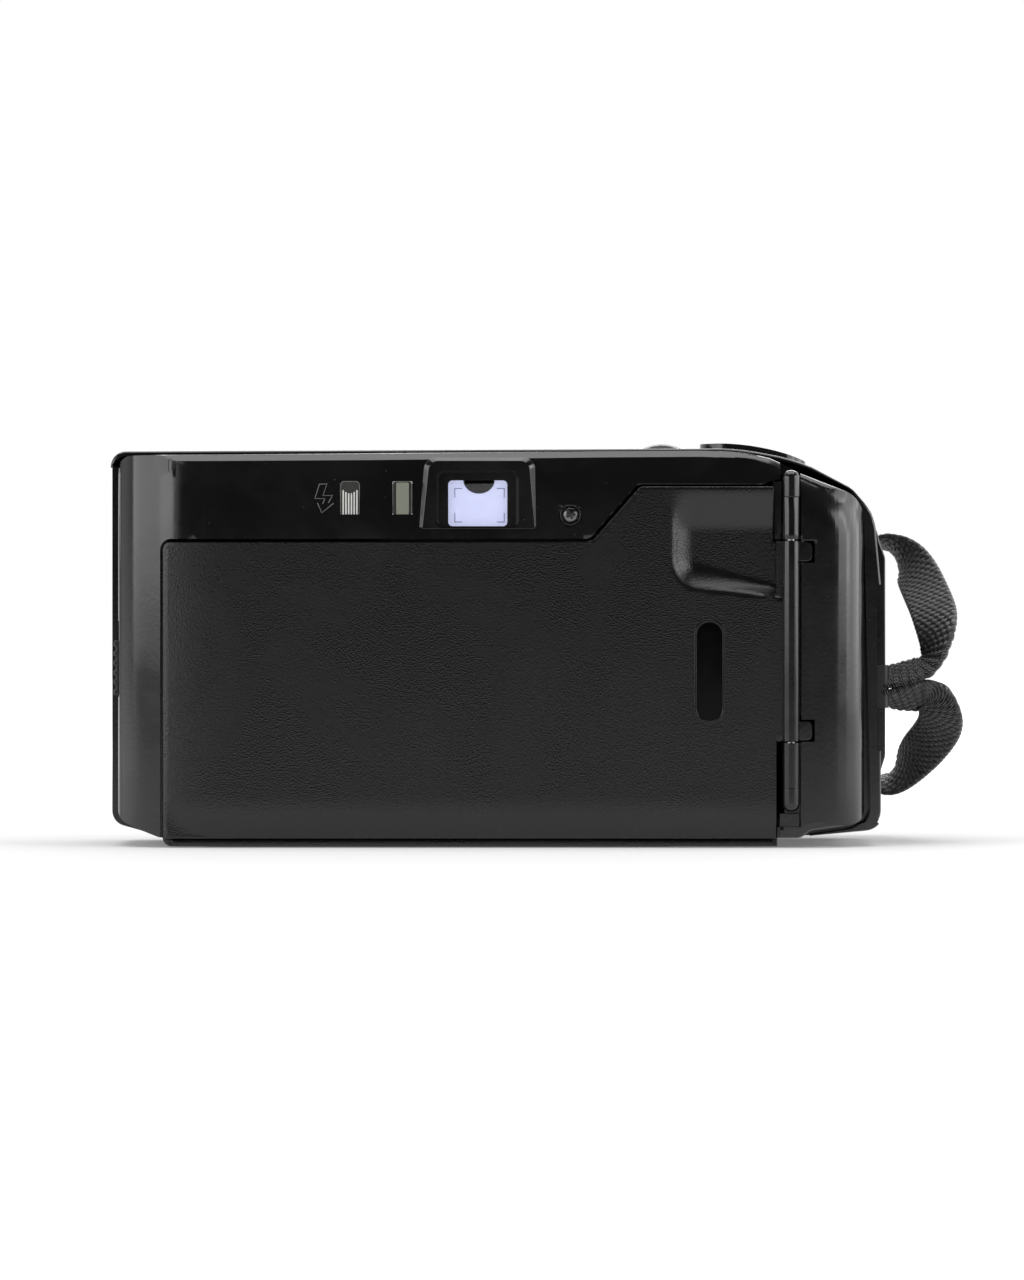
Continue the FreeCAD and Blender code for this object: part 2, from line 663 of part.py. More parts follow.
def make_rear_cover():
    face = flat("rear_face", "XZ", rear_outline())
    plan = flat("rear_plan", "XY", rear_plan(parting + 6))
    block = extrude("rear_block", face, "XZ", rear, s.rear_cover_depth)
    rounded = soften("rear_block_edge", block, s.rear_edge, at_y(rear))
    outer = common("rear_shell_outside", rounded, extrude("rear_plan_block", plan, "XY", 0, s.body_top))
    inner = common(
        "rear_shell_inside",
        extrude("rear_room", offset("rear_face_inside", face, -s.cover_wall), "XZ",
                rear + s.cover_wall, s.rear_cover_depth),
        extrude("rear_plan_room", offset("rear_plan_inside", plan, -s.cover_wall), "XY", 0, s.body_top),
    )
    opening = prism("door_opening", "XZ", rear - 1, s.door_thick + 1.1, door_outline(s.door_gap))
    trough = box("hinge_trough", (s.door_right_high, s.trough_right), (rear - 1, rear + s.trough_depth),
                 (s.cap_low - clear, s.door_top_high + s.door_gap))
    trough_top = box("hinge_trough_top", (s.hinge_x - s.barrel_r - clear, s.trough_right),
                     (rear - 1, rear + s.trough_depth), (s.door_top_high, s.body_top))
    trough_foot = box("hinge_trough_foot", (s.door_right_high, s.trough_right), (rear - 1, rear + 0.8),
                      (s.chassis_low, s.cap_low))
    hood_room = box("eyepiece_room", eyepiece_span(-clear), (rear - 1, rear + s.cover_wall + 1),
                    (s.eyepiece_low + clear, s.eyepiece_high - clear))
    lamps = [box("lamp_hole", lamp_span(x, 0), (rear - 1, rear + s.cover_wall + 1), (s.lamp_low, s.lamp_high))
             for x in (s.flash_lamp_x, s.focus_lamp_x)]
    well = rod("screw_well", (s.screw_x, rear - 1, s.screw_z), s.screw_well_r, 1.9, "Y")
    hole = rod("screw_hole", (s.screw_x, rear - 1, s.screw_z), s.screw_body_r + s.fit, 5, "Y")
    screws = [rod("rear_base_hole", (x, y, -1), s.screw_body_r + s.fit, 5) for x, y in base_screw_places()]
    latch_slot = box("latch_slot", (-rear_left - 1, -rear_left + s.cover_wall + 1),
                     (latch_y - 1.9, latch_y + 1.9), (s.latch_z - 4.9, s.latch_z + 4.9 + s.latch_travel))
    shell = cut("rear_shell", outer, inner, opening, trough, trough_top, hood_room, *lamps, well, hole,
                *screws, latch_slot)
    rib = box("latch_rib", (-rear_left + s.cover_wall - 0.1, -rear_left + s.cover_wall + 4.5),
              (latch_y - 1.5, parting - 1), (s.latch_z + 11.65, s.latch_z + 13))
    boss = cut("screw_boss", rod("screw_boss_post", (s.screw_x, rear + 1, s.screw_z), 2.6, 4.2, "Y"),
               rod("screw_boss_well", (s.screw_x, rear, s.screw_z), s.screw_well_r, 0.9, "Y"),
               rod("screw_boss_hole", (s.screw_x, rear, s.screw_z), s.screw_body_r + s.fit, 9, "Y"))
    floor = box("trough_floor", (s.cassette_x + s.cassette_r + 0.2, s.trough_right + 1),
                (rear + s.trough_depth, rear + s.trough_depth + 1.1), (s.chassis_low, s.cap_high - 1.4))
    wall = box("trough_wall", (s.trough_right, s.trough_right + 1), (rear + 1, rear + s.trough_depth + 1),
               (s.chassis_low, s.cap_high - 1.4))
    pocket_r = s.tab_reach + s.tab_room
    housings = [common("tab_housing", rod("tab_drum", (s.hinge_x, hinge_y, low - 1), pocket_r + 0.9,
                                          s.tab_tall + 2),
                       box("tab_drum_side", (s.hinge_x - 0.5, rear_right - 3),
                           (rear + 0.6, parting), (low - 1, low + s.tab_tall + 1)))
                for low in tab_places()]
    pockets = [rod("tab_pocket", (s.hinge_x, hinge_y, low - 0.25), pocket_r, s.tab_tall + 0.5)
               for low in tab_places()]
    barrel_room = rod("barrel_room", (s.hinge_x, hinge_y, s.barrel_low - s.knuckle_gap), s.barrel_r + clear,
                      s.barrel_high - s.barrel_low + s.knuckle_gap * 2)
    web = (s.hinge_x - 0.7, s.hinge_x + 0.7)
    webs = [box("knuckle_web", web, (hinge_y, rear + s.trough_depth + 0.5), span) for span in knuckle_spans()]
    knuckles = [rod("body_knuckle", (s.hinge_x, hinge_y, low), s.barrel_r, high - low)
                for low, high in knuckle_spans()]
    bores = [rod("knuckle_bore", (s.hinge_x, hinge_y, low - 1), s.pin_r + s.pin_fit, high - low + 2)
             for low, high in knuckle_spans()]
    whole = fuse("rear_cover_whole", shell, boss, rib, floor, wall, *housings, *webs, *knuckles)
    return node("rear_cover", cut("rear_cover_cut", whole, trough_foot, barrel_room, *pockets, *bores))


def eyepiece_span(grow):
    half = s.eyepiece_wide / 2
    return -s.eyepiece_x - half - grow, -s.eyepiece_x + half + grow


def lamp_span(x, shrink):
    return -x - s.lamp_wide / 2 + shrink, -x + s.lamp_wide / 2 - shrink


def tab_places():
    return s.barrel_low + 0.25, s.barrel_high - s.tab_tall - 0.25


def knuckle_spans():
    return ((s.knuckle_low, s.barrel_low - s.knuckle_gap), (s.barrel_high + s.knuckle_gap, s.knuckle_high))


def make_front_cover():
    face = flat("front_face", "XZ", body_outline())
    rear_face = flat("rim_face", "XZ", rear_outline())
    depth = front - rim_back
    block = extrude("front_block", face, "XZ", rim_back, depth)
    rounded = soften("front_block_edge", block, s.front_edge, at_y(front))
    grip_face = flat("grip_face", "XZ", grip_outline())
    grip = extrude("grip_block", grip_face, "XZ", 0, front + s.grip_rise)
    grip_rounded = soften("grip_rounding", grip, s.grip_edge, at_y(front + s.grip_rise))
    outside = fuse("front_outside", rounded, grip_rounded)
    rim = extrude("rim_room", offset("rim_inside", rear_face, s.rim_gap), "XZ", rim_back - 1,
                  s.rim_overlap + 1)
    seat = extrude("ledge_room", offset("ledge_inside", rear_face, -s.cover_wall), "XZ", parting - 0.5,
                   s.ledge_depth + 1)
    room = extrude("front_room", offset("front_inside", face, -s.cover_wall), "XZ", ledge,
                   front - s.cover_wall - ledge)
    grip_room = extrude("grip_room", offset("grip_inside", grip_face, -s.cover_wall), "XZ", ledge,
                        front + s.grip_rise - s.cover_wall - ledge)
    lens_hole = rod("lens_hole", (0, front - 5, s.film_z), s.lens_bore + 1.2, 10, "Y")
    lens_step = rod("lens_step", (0, front - 0.6, s.film_z), s.lens_r + 0.1, 10, "Y")
    flash_hole = box("flash_hole", (-s.flash_left, -s.flash_right), (front - 5, front + 1),
                     (s.flash_low, s.flash_high))
    window_hole = box("front_window_hole", front_window_span(), (front - 5, front + 1),
                      (s.eyepiece_low, s.eyepiece_high - 1))
    timer_hole = rod("timer_lamp_hole", (timer_lamp_x, front - 5, s.film_z + 20), 1.5, 10, "Y")
    button_hole = prism("button_hole", "XY", s.body_top - s.shoulder_drop, s.shoulder_drop + 3,
                        ellipse_outline(s.button_x, 0, s.button_long / 2 + s.button_gap,
                                        s.button_wide / 2 + s.button_gap))
    counter_hole = rod("counter_hole", (s.counter_x, -s.counter_y, s.body_top - 4), s.counter_r - 0.5, 6)
    timer_hole_top = rod("timer_button_hole", (timer_button_x, timer_button_y, s.body_top - 4), 2.5, 6)
    hatch_hole = box("hatch_hole", (s.hatch_left - clear, s.hatch_right + clear),
                     (s.hatch_back - clear, s.hatch_front + clear),
                     (-1, s.bottom_edge + s.right_lift + 2.2))
    tripod_hole = rod("tripod_hole", (0, 0, -1), s.tripod_wall_r + 0.1, 6)
    rewind_hole = rod("rewind_hole", (rewind_x, rewind_y, -1), 1.5, 6)
    holes = [rod("base_screw_hole", (x, y, -1), s.screw_body_r + s.fit, 7) for x, y in base_screw_places()]
    slot_hole = box("bar_slot", (s.body_right - 1.2, s.body_right + 1), (rim_back - 1, front),
                    (s.bar_slot_low, s.bar_slot_high))
    return node("front_cover", cut("front_cover_cut", outside, rim, seat, room, grip_room, lens_hole,
                                   lens_step, flash_hole, window_hole, timer_hole, button_hole,
                                   counter_hole, timer_hole_top, hatch_hole, tripod_hole, rewind_hole,
                                   *holes, slot_hole))


def grip_outline():
    low = s.bottom_edge + s.right_lift
    return [
        (s.grip_left, s.bottom_edge + 0.3, s.left_round),
        (s.hinge_x, s.bottom_edge + 0.3, s.left_round),
        (s.body_right, low, s.left_round),
        (s.body_right, s.grip_top - 1.2, s.grip_round),
        (s.grip_left, s.grip_top, s.grip_round),
    ]


def front_window_span():
    return -s.eyepiece_x - 17, -s.eyepiece_x + 12


def ellipse_outline(x, y, half_long, half_wide):
    """An oval made of four arcs, as a button's outline is."""
    tight = half_wide * 0.93
    return [(x - half_long, y - half_wide, tight), (x + half_long, y - half_wide, tight),
            (x + half_long, y + half_wide, tight), (x - half_long, y + half_wide, tight)]


def base_screw_places():
    return [(x, y) for x in (-s.base_left + 4, s.base_right - 4) for y in (-s.base_back + 4, s.base_front - 10)]


def make_base():
    plate = prism("base_sheet", "XY", 0, s.bottom_edge,
                  oblong(-s.base_left, s.base_right, -s.base_back, s.base_front, 3.0),
                  [(0, 0, s.tripod_wall_r + 0.1)], [(rewind_x, rewind_y, 1.5)],
                  *[[(x, y, s.screw_body_r + s.fit)] for x, y in base_screw_places()])
    sinks = [rod("screw_sink", (x, y, -0.5), s.screw_head_r + 0.1, 1.2) for x, y in base_screw_places()]
    node("base_plate", cut("base_plate_cut", plate, *sinks))
    screws = [turned("base_screw", (x, y, 0.7), "Z",
                     [(0, 0), (0, -0.55), (s.screw_head_r, -0.55), (s.screw_head_r, 0), (s.screw_body_r, 0),
                      (s.screw_body_r, 4.0), (0, 4.0)])
              for x, y in base_screw_places()]
    node("base_screws", group("base_screw_set", screws))
    flange = s.bottom_edge + s.cover_wall + 0.02
    node("tripod_socket", turned(
        "tripod_bush", (0, 0, 0.2), "Z",
        [(s.tripod_r, 0), (s.tripod_wall_r, 0), (s.tripod_wall_r, flange - 0.2),
         (s.tripod_flange_r, flange - 0.2), (s.tripod_flange_r, flange + 1), (s.tripod_wall_r, flange + 1),
         (s.tripod_wall_r, s.tripod_length + 1.2), (0, s.tripod_length + 1.2), (0, s.tripod_length),
         (s.tripod_r, s.tripod_length)]))


def make_chassis():
    block = box("chassis_block", (-s.chassis_left, s.chassis_right), (chassis_back, s.chassis_front),
                (s.chassis_low, s.chassis_high))
    low = s.chassis_low + s.chassis_floor
    high = s.chassis_high - s.chassis_roof
    cassette = (s.cassette_x, -s.cassette_y, low)
    spool = (-s.spool_x, -s.spool_y, low)
    behind = chassis_back - 1
    tools = [
        rod("cassette_room", cassette, s.cassette_r, high - low),
        box("cassette_mouth", (s.cassette_x - s.cassette_r, s.cassette_x + s.cassette_r),
            (behind, -s.cassette_y), (low, high)),
        rod("hub_room", (s.cassette_x, -s.cassette_y, high - 1), s.nub_r, s.chassis_roof + 2),
        box("hub_mouth", (s.cassette_x - s.nub_r, s.cassette_x + s.nub_r), (behind, -s.cassette_y),
            (high - 1, s.chassis_high + 1)),
        box("hinge_room", (s.cassette_x + s.cassette_r - 0.5, s.chassis_right + 1),
            (behind, hinge_y + s.tab_reach + s.tab_room + 1.2), (s.chassis_low - 1, s.chassis_high + 1)),
        rod("spool_room", spool, s.spool_room, high - low),
        box("spool_mouth", (-s.spool_x - s.spool_room, -s.spool_x + s.spool_room), (behind, -s.spool_y),
            (low, high)),
        rod("sprocket_room", (-s.sprocket_x, sprocket_y, low), sprocket_tip + 0.5, high - low),
        box("sprocket_mouth", (-s.sprocket_x - sprocket_tip, -s.sprocket_x + sprocket_tip),
            (behind, sprocket_y), (low, high)),
        box("plate_room", (-gate_room_left, gate_room_right), (behind, aperture_back),
            (s.film_z - plate_half - 0.2, s.film_z + plate_half + 0.2)),
        light_box(),
        rod("tripod_room", (0, 0, s.chassis_low - 1), s.tripod_flange_r + 0.3, 2.6),
        rod("tripod_bush_room", (0, 0, s.chassis_low), s.tripod_wall_r + 0.3, s.tripod_length - 1.9),
        rod("fork_bore", (s.cassette_x, -s.cassette_y, s.chassis_low - 1), s.fork_r + s.fit, 4),
        rod("spool_bore", (-s.spool_x, -s.spool_y, s.chassis_low - 1), s.shaft_r + s.fit, 60),
        rod("sprocket_bore", (-s.sprocket_x, sprocket_y, s.chassis_low - 1), 1.5 + s.fit, 60),
        *[rod("base_screw_bore", (x, y, s.chassis_low - 1), s.screw_body_r + s.fit, 2.3)
          for x, y in base_screw_places()],
    ]
    posts = [rod("idler_post", (idler_x, idler_y, s.chassis_high - 0.2), 1.0, 4.2)]
    node("chassis", fuse("chassis_whole", cut("chassis_cut", block, *tools), *posts))


def light_box():
    """The tapered room between the shutter and the picture gate."""
    hollow = add("Part::Wedge", "light_box")
    back_half = (s.gate_wide / 2 + 0.2, s.gate_tall / 2 + 0.2)
    bind(hollow, "Xmin", -back_half[0])
    bind(hollow, "Xmax", back_half[0])
    bind(hollow, "Zmin", -back_half[1])
    bind(hollow, "Zmax", back_half[1])
    bind(hollow, "X2min", -s.rear_glass_r - 3)
    bind(hollow, "X2max", s.rear_glass_r + 3)
    bind(hollow, "Z2min", -s.rear_glass_r - 2)
    bind(hollow, "Z2max", s.rear_glass_r + 2)
    bind(hollow, "Ymin", aperture_back - 0.01)
    bind(hollow, "Ymax", s.chassis_front + 0.01)
    return move(hollow, (0, 0, s.film_z))


def make_film_path():
    sheet_back = aperture_back - s.plate_thick
    rail_half = s.gate_tall / 2 + 0.9
    guide_half = s.film_width / 2 + 0.45
    plate = prism("aperture_sheet", "XZ", sheet_back, s.plate_thick,
                  oblong(-gate_room_left + 0.2, gate_room_right - 0.2, s.film_z - plate_half,
                         s.film_z + plate_half, 1.0),
                  oblong(-s.gate_wide / 2, s.gate_wide / 2, s.film_z - s.gate_tall / 2,
                         s.film_z + s.gate_tall / 2, 0.5))
    rails = []
    for side in (-1, 1):
        for place, wide, rise in ((rail_half, 0.9, 0), (guide_half, 0.7, 0.1)):
            middle = s.film_z + place * side
            rails.append(box("film_rail", (-s.gate_wide / 2 - 0.8, s.gate_wide / 2 + 0.8),
                             (film_y - rise, sheet_back), (middle - wide / 2, middle + wide / 2)))
    node("aperture_plate", fuse("aperture_whole", plate, *rails))

    hub = [(0, 0), (s.shaft_r, 0), (s.shaft_r, s.chassis_floor + 0.3), (s.spool_flange, s.chassis_floor + 0.3),
           (s.spool_flange, s.chassis_floor + 1.3), (s.spool_r, s.chassis_floor + 1.3),
           (s.spool_r, spool_height - 1.3), (s.spool_flange, spool_height - 1.3),
           (s.spool_flange, spool_height - 0.3), (s.shaft_r, spool_height - 0.3),
           (s.shaft_r, gear_low - s.chassis_low), (0, gear_low - s.chassis_low)]
    drum = turned("spool_drum", (-s.spool_x, -s.spool_y, s.chassis_low), "Z", hub)
    slits = [box("film_slit", (-s.spool_x - 1, -s.spool_x + 1), span,
                 (s.film_z - s.film_width / 2 - 1, s.film_z + s.film_width / 2 + 1))
             for span in ((-s.spool_y - s.spool_r - 1, -s.spool_y - s.spool_r + 2.5),
                          (-s.spool_y + s.spool_r - 2.5, -s.spool_y + s.spool_r + 1))]
    spool_gear = gear("spool_gear", s.spool_teeth, (-s.spool_x, -s.spool_y, gear_low), 0)
    node("takeup_spool", fuse("takeup_whole", cut("spool_slitted", drum, *slits), spool_gear))

    node("idler_gear", cut("idler_bored", gear("idler", s.idler_teeth, (idler_x, idler_y, gear_low),
                                               idler_turn),
                           rod("idler_bore", (idler_x, idler_y, gear_low - 1), 1.0 + s.fit, 9)))
    node("motor_pinion", gear("pinion", s.pinion_teeth, (-s.motor_x, -s.motor_y, gear_low), pinion_turn))
    node("drive_motor", turned(
        "motor_can", (-s.motor_x, -s.motor_y, s.motor_low), "Z",
        [(0, -1), (1.2, -1), (1.2, 0), (s.motor_r, 0), (s.motor_r, motor_high - s.motor_low),
         (1.2, motor_high - s.motor_low), (1.2, motor_high - s.motor_low + 1),
         (0.5, motor_high - s.motor_low + 1), (0.5, gear_low - s.motor_low),
         (0, gear_low - s.motor_low)]))

    sprocket_low = s.chassis_low + s.chassis_floor
    sprocket_high = s.chassis_high - s.chassis_roof
    row = (s.film_z - s.sprocket_row, s.film_z + s.sprocket_row)
    hub = [(0, -s.chassis_floor), (1.5, -s.chassis_floor), (1.5, 0.2), (2.6, 0.2)]
    for middle in row:
        hub += [(2.6, middle - 1.6 - sprocket_low), (sprocket_r, middle - 1.6 - sprocket_low),
                (sprocket_r, middle + 1.6 - sprocket_low), (2.6, middle + 1.6 - sprocket_low)]
    hub += [(2.6, sprocket_high - 0.2 - sprocket_low), (1.5, sprocket_high - 0.2 - sprocket_low),
            (1.5, sprocket_high + s.chassis_roof - sprocket_low),
            (0, sprocket_high + s.chassis_roof - sprocket_low)]
    drum = turned("sprocket_drum", (-s.sprocket_x, sprocket_y, sprocket_low), "Z", hub)
    teeth = []
    for middle in row:
        for step in range(int(s.sprocket_teeth)):
            tooth = add("Part::Cone", "sprocket_tooth")
            bind(tooth, "Radius1", 0.75)
            bind(tooth, "Radius2", 0.4)
            bind(tooth, "Height", s.sprocket_tooth + 0.4)
            angle = math.radians(30 + 360 * step / int(s.sprocket_teeth))
            outward = vec(math.cos(angle), math.sin(angle), 0)
            start = sprocket_r - 0.4
            move(tooth, (-s.sprocket_x + start * outward.x, sprocket_y + start * outward.y, middle),
                 FreeCAD.Rotation(vec(0, 0, 1), outward))
            teeth.append(tooth)
    node("sprocket", fuse("sprocket_whole", drum, *teeth))

    fork = turned("fork_shaft", (s.cassette_x, -s.cassette_y, s.chassis_low), "Z",
                  [(0, 0), (s.fork_r, 0), (s.fork_r, s.chassis_floor + 0.2), (4.2, s.chassis_floor + 0.2),
                   (4.2, s.chassis_floor + 1), (1.6, s.chassis_floor + 1), (1.6, s.chassis_floor + 6, 0.5),
                   (0, s.chassis_floor + 6)])
    blades = [box("fork_blade", (s.cassette_x - 2.9, s.cassette_x + 2.9),
                  (-s.cassette_y - 0.5, -s.cassette_y + 0.5),
                  (s.chassis_low + s.chassis_floor + 0.9, s.chassis_low + s.chassis_floor + 5))]
    node("rewind_fork", fuse("fork_whole", fork, *blades))

    leaf = prism("cassette_leaf", "XZ", chassis_cassette_front - 0.7, 0.25,
                 oblong(s.cassette_x - 3, s.cassette_x + 3, s.film_z - 14, s.film_z + 14, 1.0))
    node("cassette_spring", leaf)
    pads = [box("dx_pad", (s.cassette_x - s.cassette_r + 0.02, s.cassette_x - s.cassette_r + 0.5),
                (-s.cassette_y - 2.4, -s.cassette_y - 1.0), (s.film_z + 2 + step * 3, s.film_z + 4 + step * 3))
            for step in range(3)]
    node("dx_contacts", group("dx_contact_set", pads))
    seal = (door_inner + 0.02, chassis_back)
    node("light_seal", fuse(
        "seal_strips",
        box("seal_left", (-s.chassis_left + 0.05, -s.chassis_left + 0.6), seal,
            (s.chassis_low + 0.2, s.chassis_high - 3)),
        box("seal_foot", (-s.chassis_left + 0.6, s.door_right_high - 2), seal,
            (s.chassis_low + 0.2, s.chassis_low + 1.2))))


def gear(name, teeth, at, turn):
    """A spur gear with stub teeth, its tooth spaces cut by one slot turned round the axis."""
    count = int(teeth)
    pitch_r = s.gear_module * teeth / 2
    tip_r = pitch_r + s.gear_module * 0.6
    foot_r = pitch_r - s.gear_module * 0.9
    body = add("PartDesign::Body", name)
    pad = body.newObject("PartDesign::Pad", name + "_blank")
    pad.Profile = body_sketch(body, "XY", 0, [[(0, 0, tip_r)]])
    bind(pad, "Length", s.gear_thick)
    body.Tip = pad
    doc.recompute()
    wide_out = s.gear_module * 2.8
    wide_in = s.gear_module * 1.25
    pocket = body.newObject("PartDesign::Pocket", name + "_space")
    pocket.Profile = body_sketch(body, "XY", 0, [[
        (foot_r, -wide_in / 2), (tip_r + 0.3, -wide_out / 2), (tip_r + 0.3, wide_out / 2),
        (foot_r, wide_in / 2)]])
    pocket.Type = "ThroughAll"
    pocket.Midplane = True
    body.Tip = pocket
    doc.recompute()
    pattern = body.newObject("PartDesign::PolarPattern", name + "_spaces")
    pattern.Originals = [pocket]
    axis = [f for f in body.Origin.OriginFeatures if f.Role == "Z_Axis"][0]
    pattern.Axis = (axis, [""])
    pattern.Angle = 360
    pattern.Occurrences = count
    body.Tip = pattern
    return move(body, at, FreeCAD.Rotation(vec(0, 0, 1), turn))


def make_door():
    outline = door_outline(0)
    panel = prism("door_plate", "XZ", rear, s.door_thick, [
        *outline[:3],
        (s.hinge_x - 0.9, s.barrel_low), (s.hinge_x - 0.9, s.barrel_high), outline[3],
        *outline[4:]])
    behind_recess = box("recess_back", (s.recess_left - 0.5, s.cassette_x + s.cassette_r - 2),
                        (door_inner - 0.1, door_inner + s.bulge),
                        (s.recess_low - 0.8, s.chassis_high - s.chassis_roof - 0.6))
    leaf = box("barrel_leaf", (s.door_right - 0.5, s.hinge_x), (rear, hinge_y + 0.9),
               (s.barrel_low, s.barrel_high))
    barrel = rod("door_barrel", (s.hinge_x, hinge_y, s.barrel_low), s.barrel_r, s.barrel_high - s.barrel_low)
    tabs = [box("stop_tab", (s.hinge_x, s.hinge_x + s.tab_reach), (hinge_y - 0.45, hinge_y + 0.75),
                (low, low + s.tab_tall)) for low in tab_places()]
    lip = box("door_lip", (-s.door_left + s.door_round, s.door_right - 0.6),
              (rear + s.door_thick - 0.1, rear + s.lip_depth), (s.door_low, s.door_low + s.lip_thick))
    pins = [rod("plate_pin", (x, door_inner - 0.5, s.film_z), 0.9, 1.8, "Y") for x in (-13, 13)]
    catch = box("door_catch", (-s.door_left + 1.2, -s.door_left + 2.6), (door_inner - 0.1, latch_y - 0.4),
                (s.latch_z - 3, s.latch_z + 3))
    whole = fuse("door_whole", panel, behind_recess, leaf, barrel, *tabs, lip, *pins, catch)
    window_hole = prism("window_hole", "XZ", rear - 1, s.door_thick + 2,
                        slot(s.window_x, s.window_z, s.window_wide, s.window_tall))
    bore = rod("door_bore", (s.hinge_x, hinge_y, s.barrel_low - 1), s.pin_r + s.pin_fit,
               s.barrel_high - s.barrel_low + 2)
    node("door_panel", cut("door_cut", whole, window_hole, bore, thumb_recess()))

    shade = s.window_rim
    frame = prism("window_frame", "XZ", rear - 0.15, s.door_thick + 0.45,
                  slot(s.window_x, s.window_z, s.window_wide - 0.04, s.window_tall - 0.04))
    hollow = prism("window_hollow", "XZ", rear - 1, 2.2,
                   slot(s.window_x, s.window_z, s.window_wide - shade * 2, s.window_tall - shade * 2))
    node("cassette_window", cut("window_cut", frame, hollow))

    plate = prism("pressure_sheet", "XZ", plate_back, 1.0,
                  oblong(-s.gate_wide / 2 - 1.2, s.gate_wide / 2 + 2.5, s.film_z - s.film_width / 2 + 0.9,
                         s.film_z + s.film_width / 2 - 0.9, 1.2),
                  [(-13, s.film_z, 1.2)], [(13, s.film_z, 1.2)])
    node("pressure_plate", plate)
    node("plate_spring", prism("leaf_spring", "XZ", door_inner, 0.2,
                               oblong(-9.5, 9.5, s.film_z - 3.5, s.film_z + 3.5, 1.5)))
    node("hinge_pin", rod("hinge_rod", (s.hinge_x, hinge_y, s.knuckle_low), s.pin_r,
                          s.knuckle_high - s.knuckle_low))
    caps = []
    for low, tip, direction in ((s.knuckle_low, s.cap_low, "-Z"), (s.knuckle_high, s.cap_high, "Z")):
        height = (low - tip) if direction == "-Z" else (tip - low)
        caps.append(turned("hinge_cap", (s.hinge_x, hinge_y, low), direction,
                           [(0, 0), (s.barrel_r, 0), (s.barrel_r, height, s.barrel_r * 0.95), (0, height)]))
    node("hinge_caps", group("hinge_cap_pair", caps))


def thumb_recess():
    """Four sloping walls down to a flat floor, open towards the hinge."""
    right = s.door_right + 2
    mouth = flat("recess_mouth", "XZ", [
        (s.recess_left, s.recess_low, 3.0), (right, s.recess_low - 0.8), (right, s.recess_high),
        (s.recess_left, s.recess_high, 4.0)])
    bind(mouth, "Placement.Base.y", rear - 0.01)
    floor = flat("recess_floor", "XZ", [
        (s.recess_left + s.recess_slope, s.recess_low + 1.7, 2.0), (right, s.recess_low + 0.9),
        (right, s.recess_high - 6), (s.recess_left + s.recess_slope, s.recess_high - 5.5, 3.0)])
    bind(floor, "Placement.Base.y", rear + s.recess_depth)
    loft = add("Part::Loft", "recess_loft")
    loft.Sections = [mouth, floor]
    loft.Solid = True
    loft.Ruled = True
    return loft


def make_latch():
    knob = box("latch_knob", (-rear_left - 0.6, -rear_left + 1.2), (latch_y - 1.6, latch_y + 1.6),
               (s.latch_z - 4.6, s.latch_z + 4.6))
    grooves = [box("latch_groove", (-rear_left - 1, -rear_left - 0.25), (latch_y - 3, latch_y + 3),
                   (s.latch_z - 0.4 + step * 1.6, s.latch_z + 0.4 + step * 1.6)) for step in (-2, -1, 0, 1, 2)]
    stem = box("latch_stem", (-rear_left + 1, -rear_left + s.cover_wall + 0.3), (latch_y - 1.6, latch_y + 1.6),
               (s.latch_z - 3.6, s.latch_z + 4.6))
    slider = box("latch_slider", (-rear_left + s.cover_wall + 0.3, -s.door_left + 0.9),
                 (latch_y - 0.1, latch_y + 1.2), (s.latch_z - 3.4, s.latch_z + 3.4))
    node("door_latch", fuse("latch_whole", cut("latch_knob_cut", knob, *grooves), stem, slider))
    node("latch_spring", coil("latch_coil", -rear_left + s.cover_wall + 2.4, latch_y + 0.55,
                              s.latch_z + 3.6, 8, 1.2, 5))


def coil(name, x, y, low, height, radius, turns):
    """A compression spring standing on the level low."""
    path = add("Part::Helix", name + "_path")
    bind(path, "Radius", radius)
    bind(path, "Height", height - s.spring_wire * 2)
    bind(path, "Pitch", (height - s.spring_wire * 2) / turns)
    path.SegmentLength = 1
    move(path, (x, y, low + s.spring_wire))
    ring = add("Part::Circle", name + "_wire")
    bind(ring, "Radius", s.spring_wire)
    ring.Placement = FreeCAD.Placement(vec(), FreeCAD.Rotation(vec(1, 0, 0), 90))
    for axis, amount in zip("xyz", (x + radius, y, low + s.spring_wire)):
        bind(ring, "Placement.Base." + axis, amount)
    spring = add("Part::Sweep", name)
    spring.Sections = [ring]
    spring.Spine = (path, [])
    spring.Solid = True
    spring.Frenet = True
    return spring


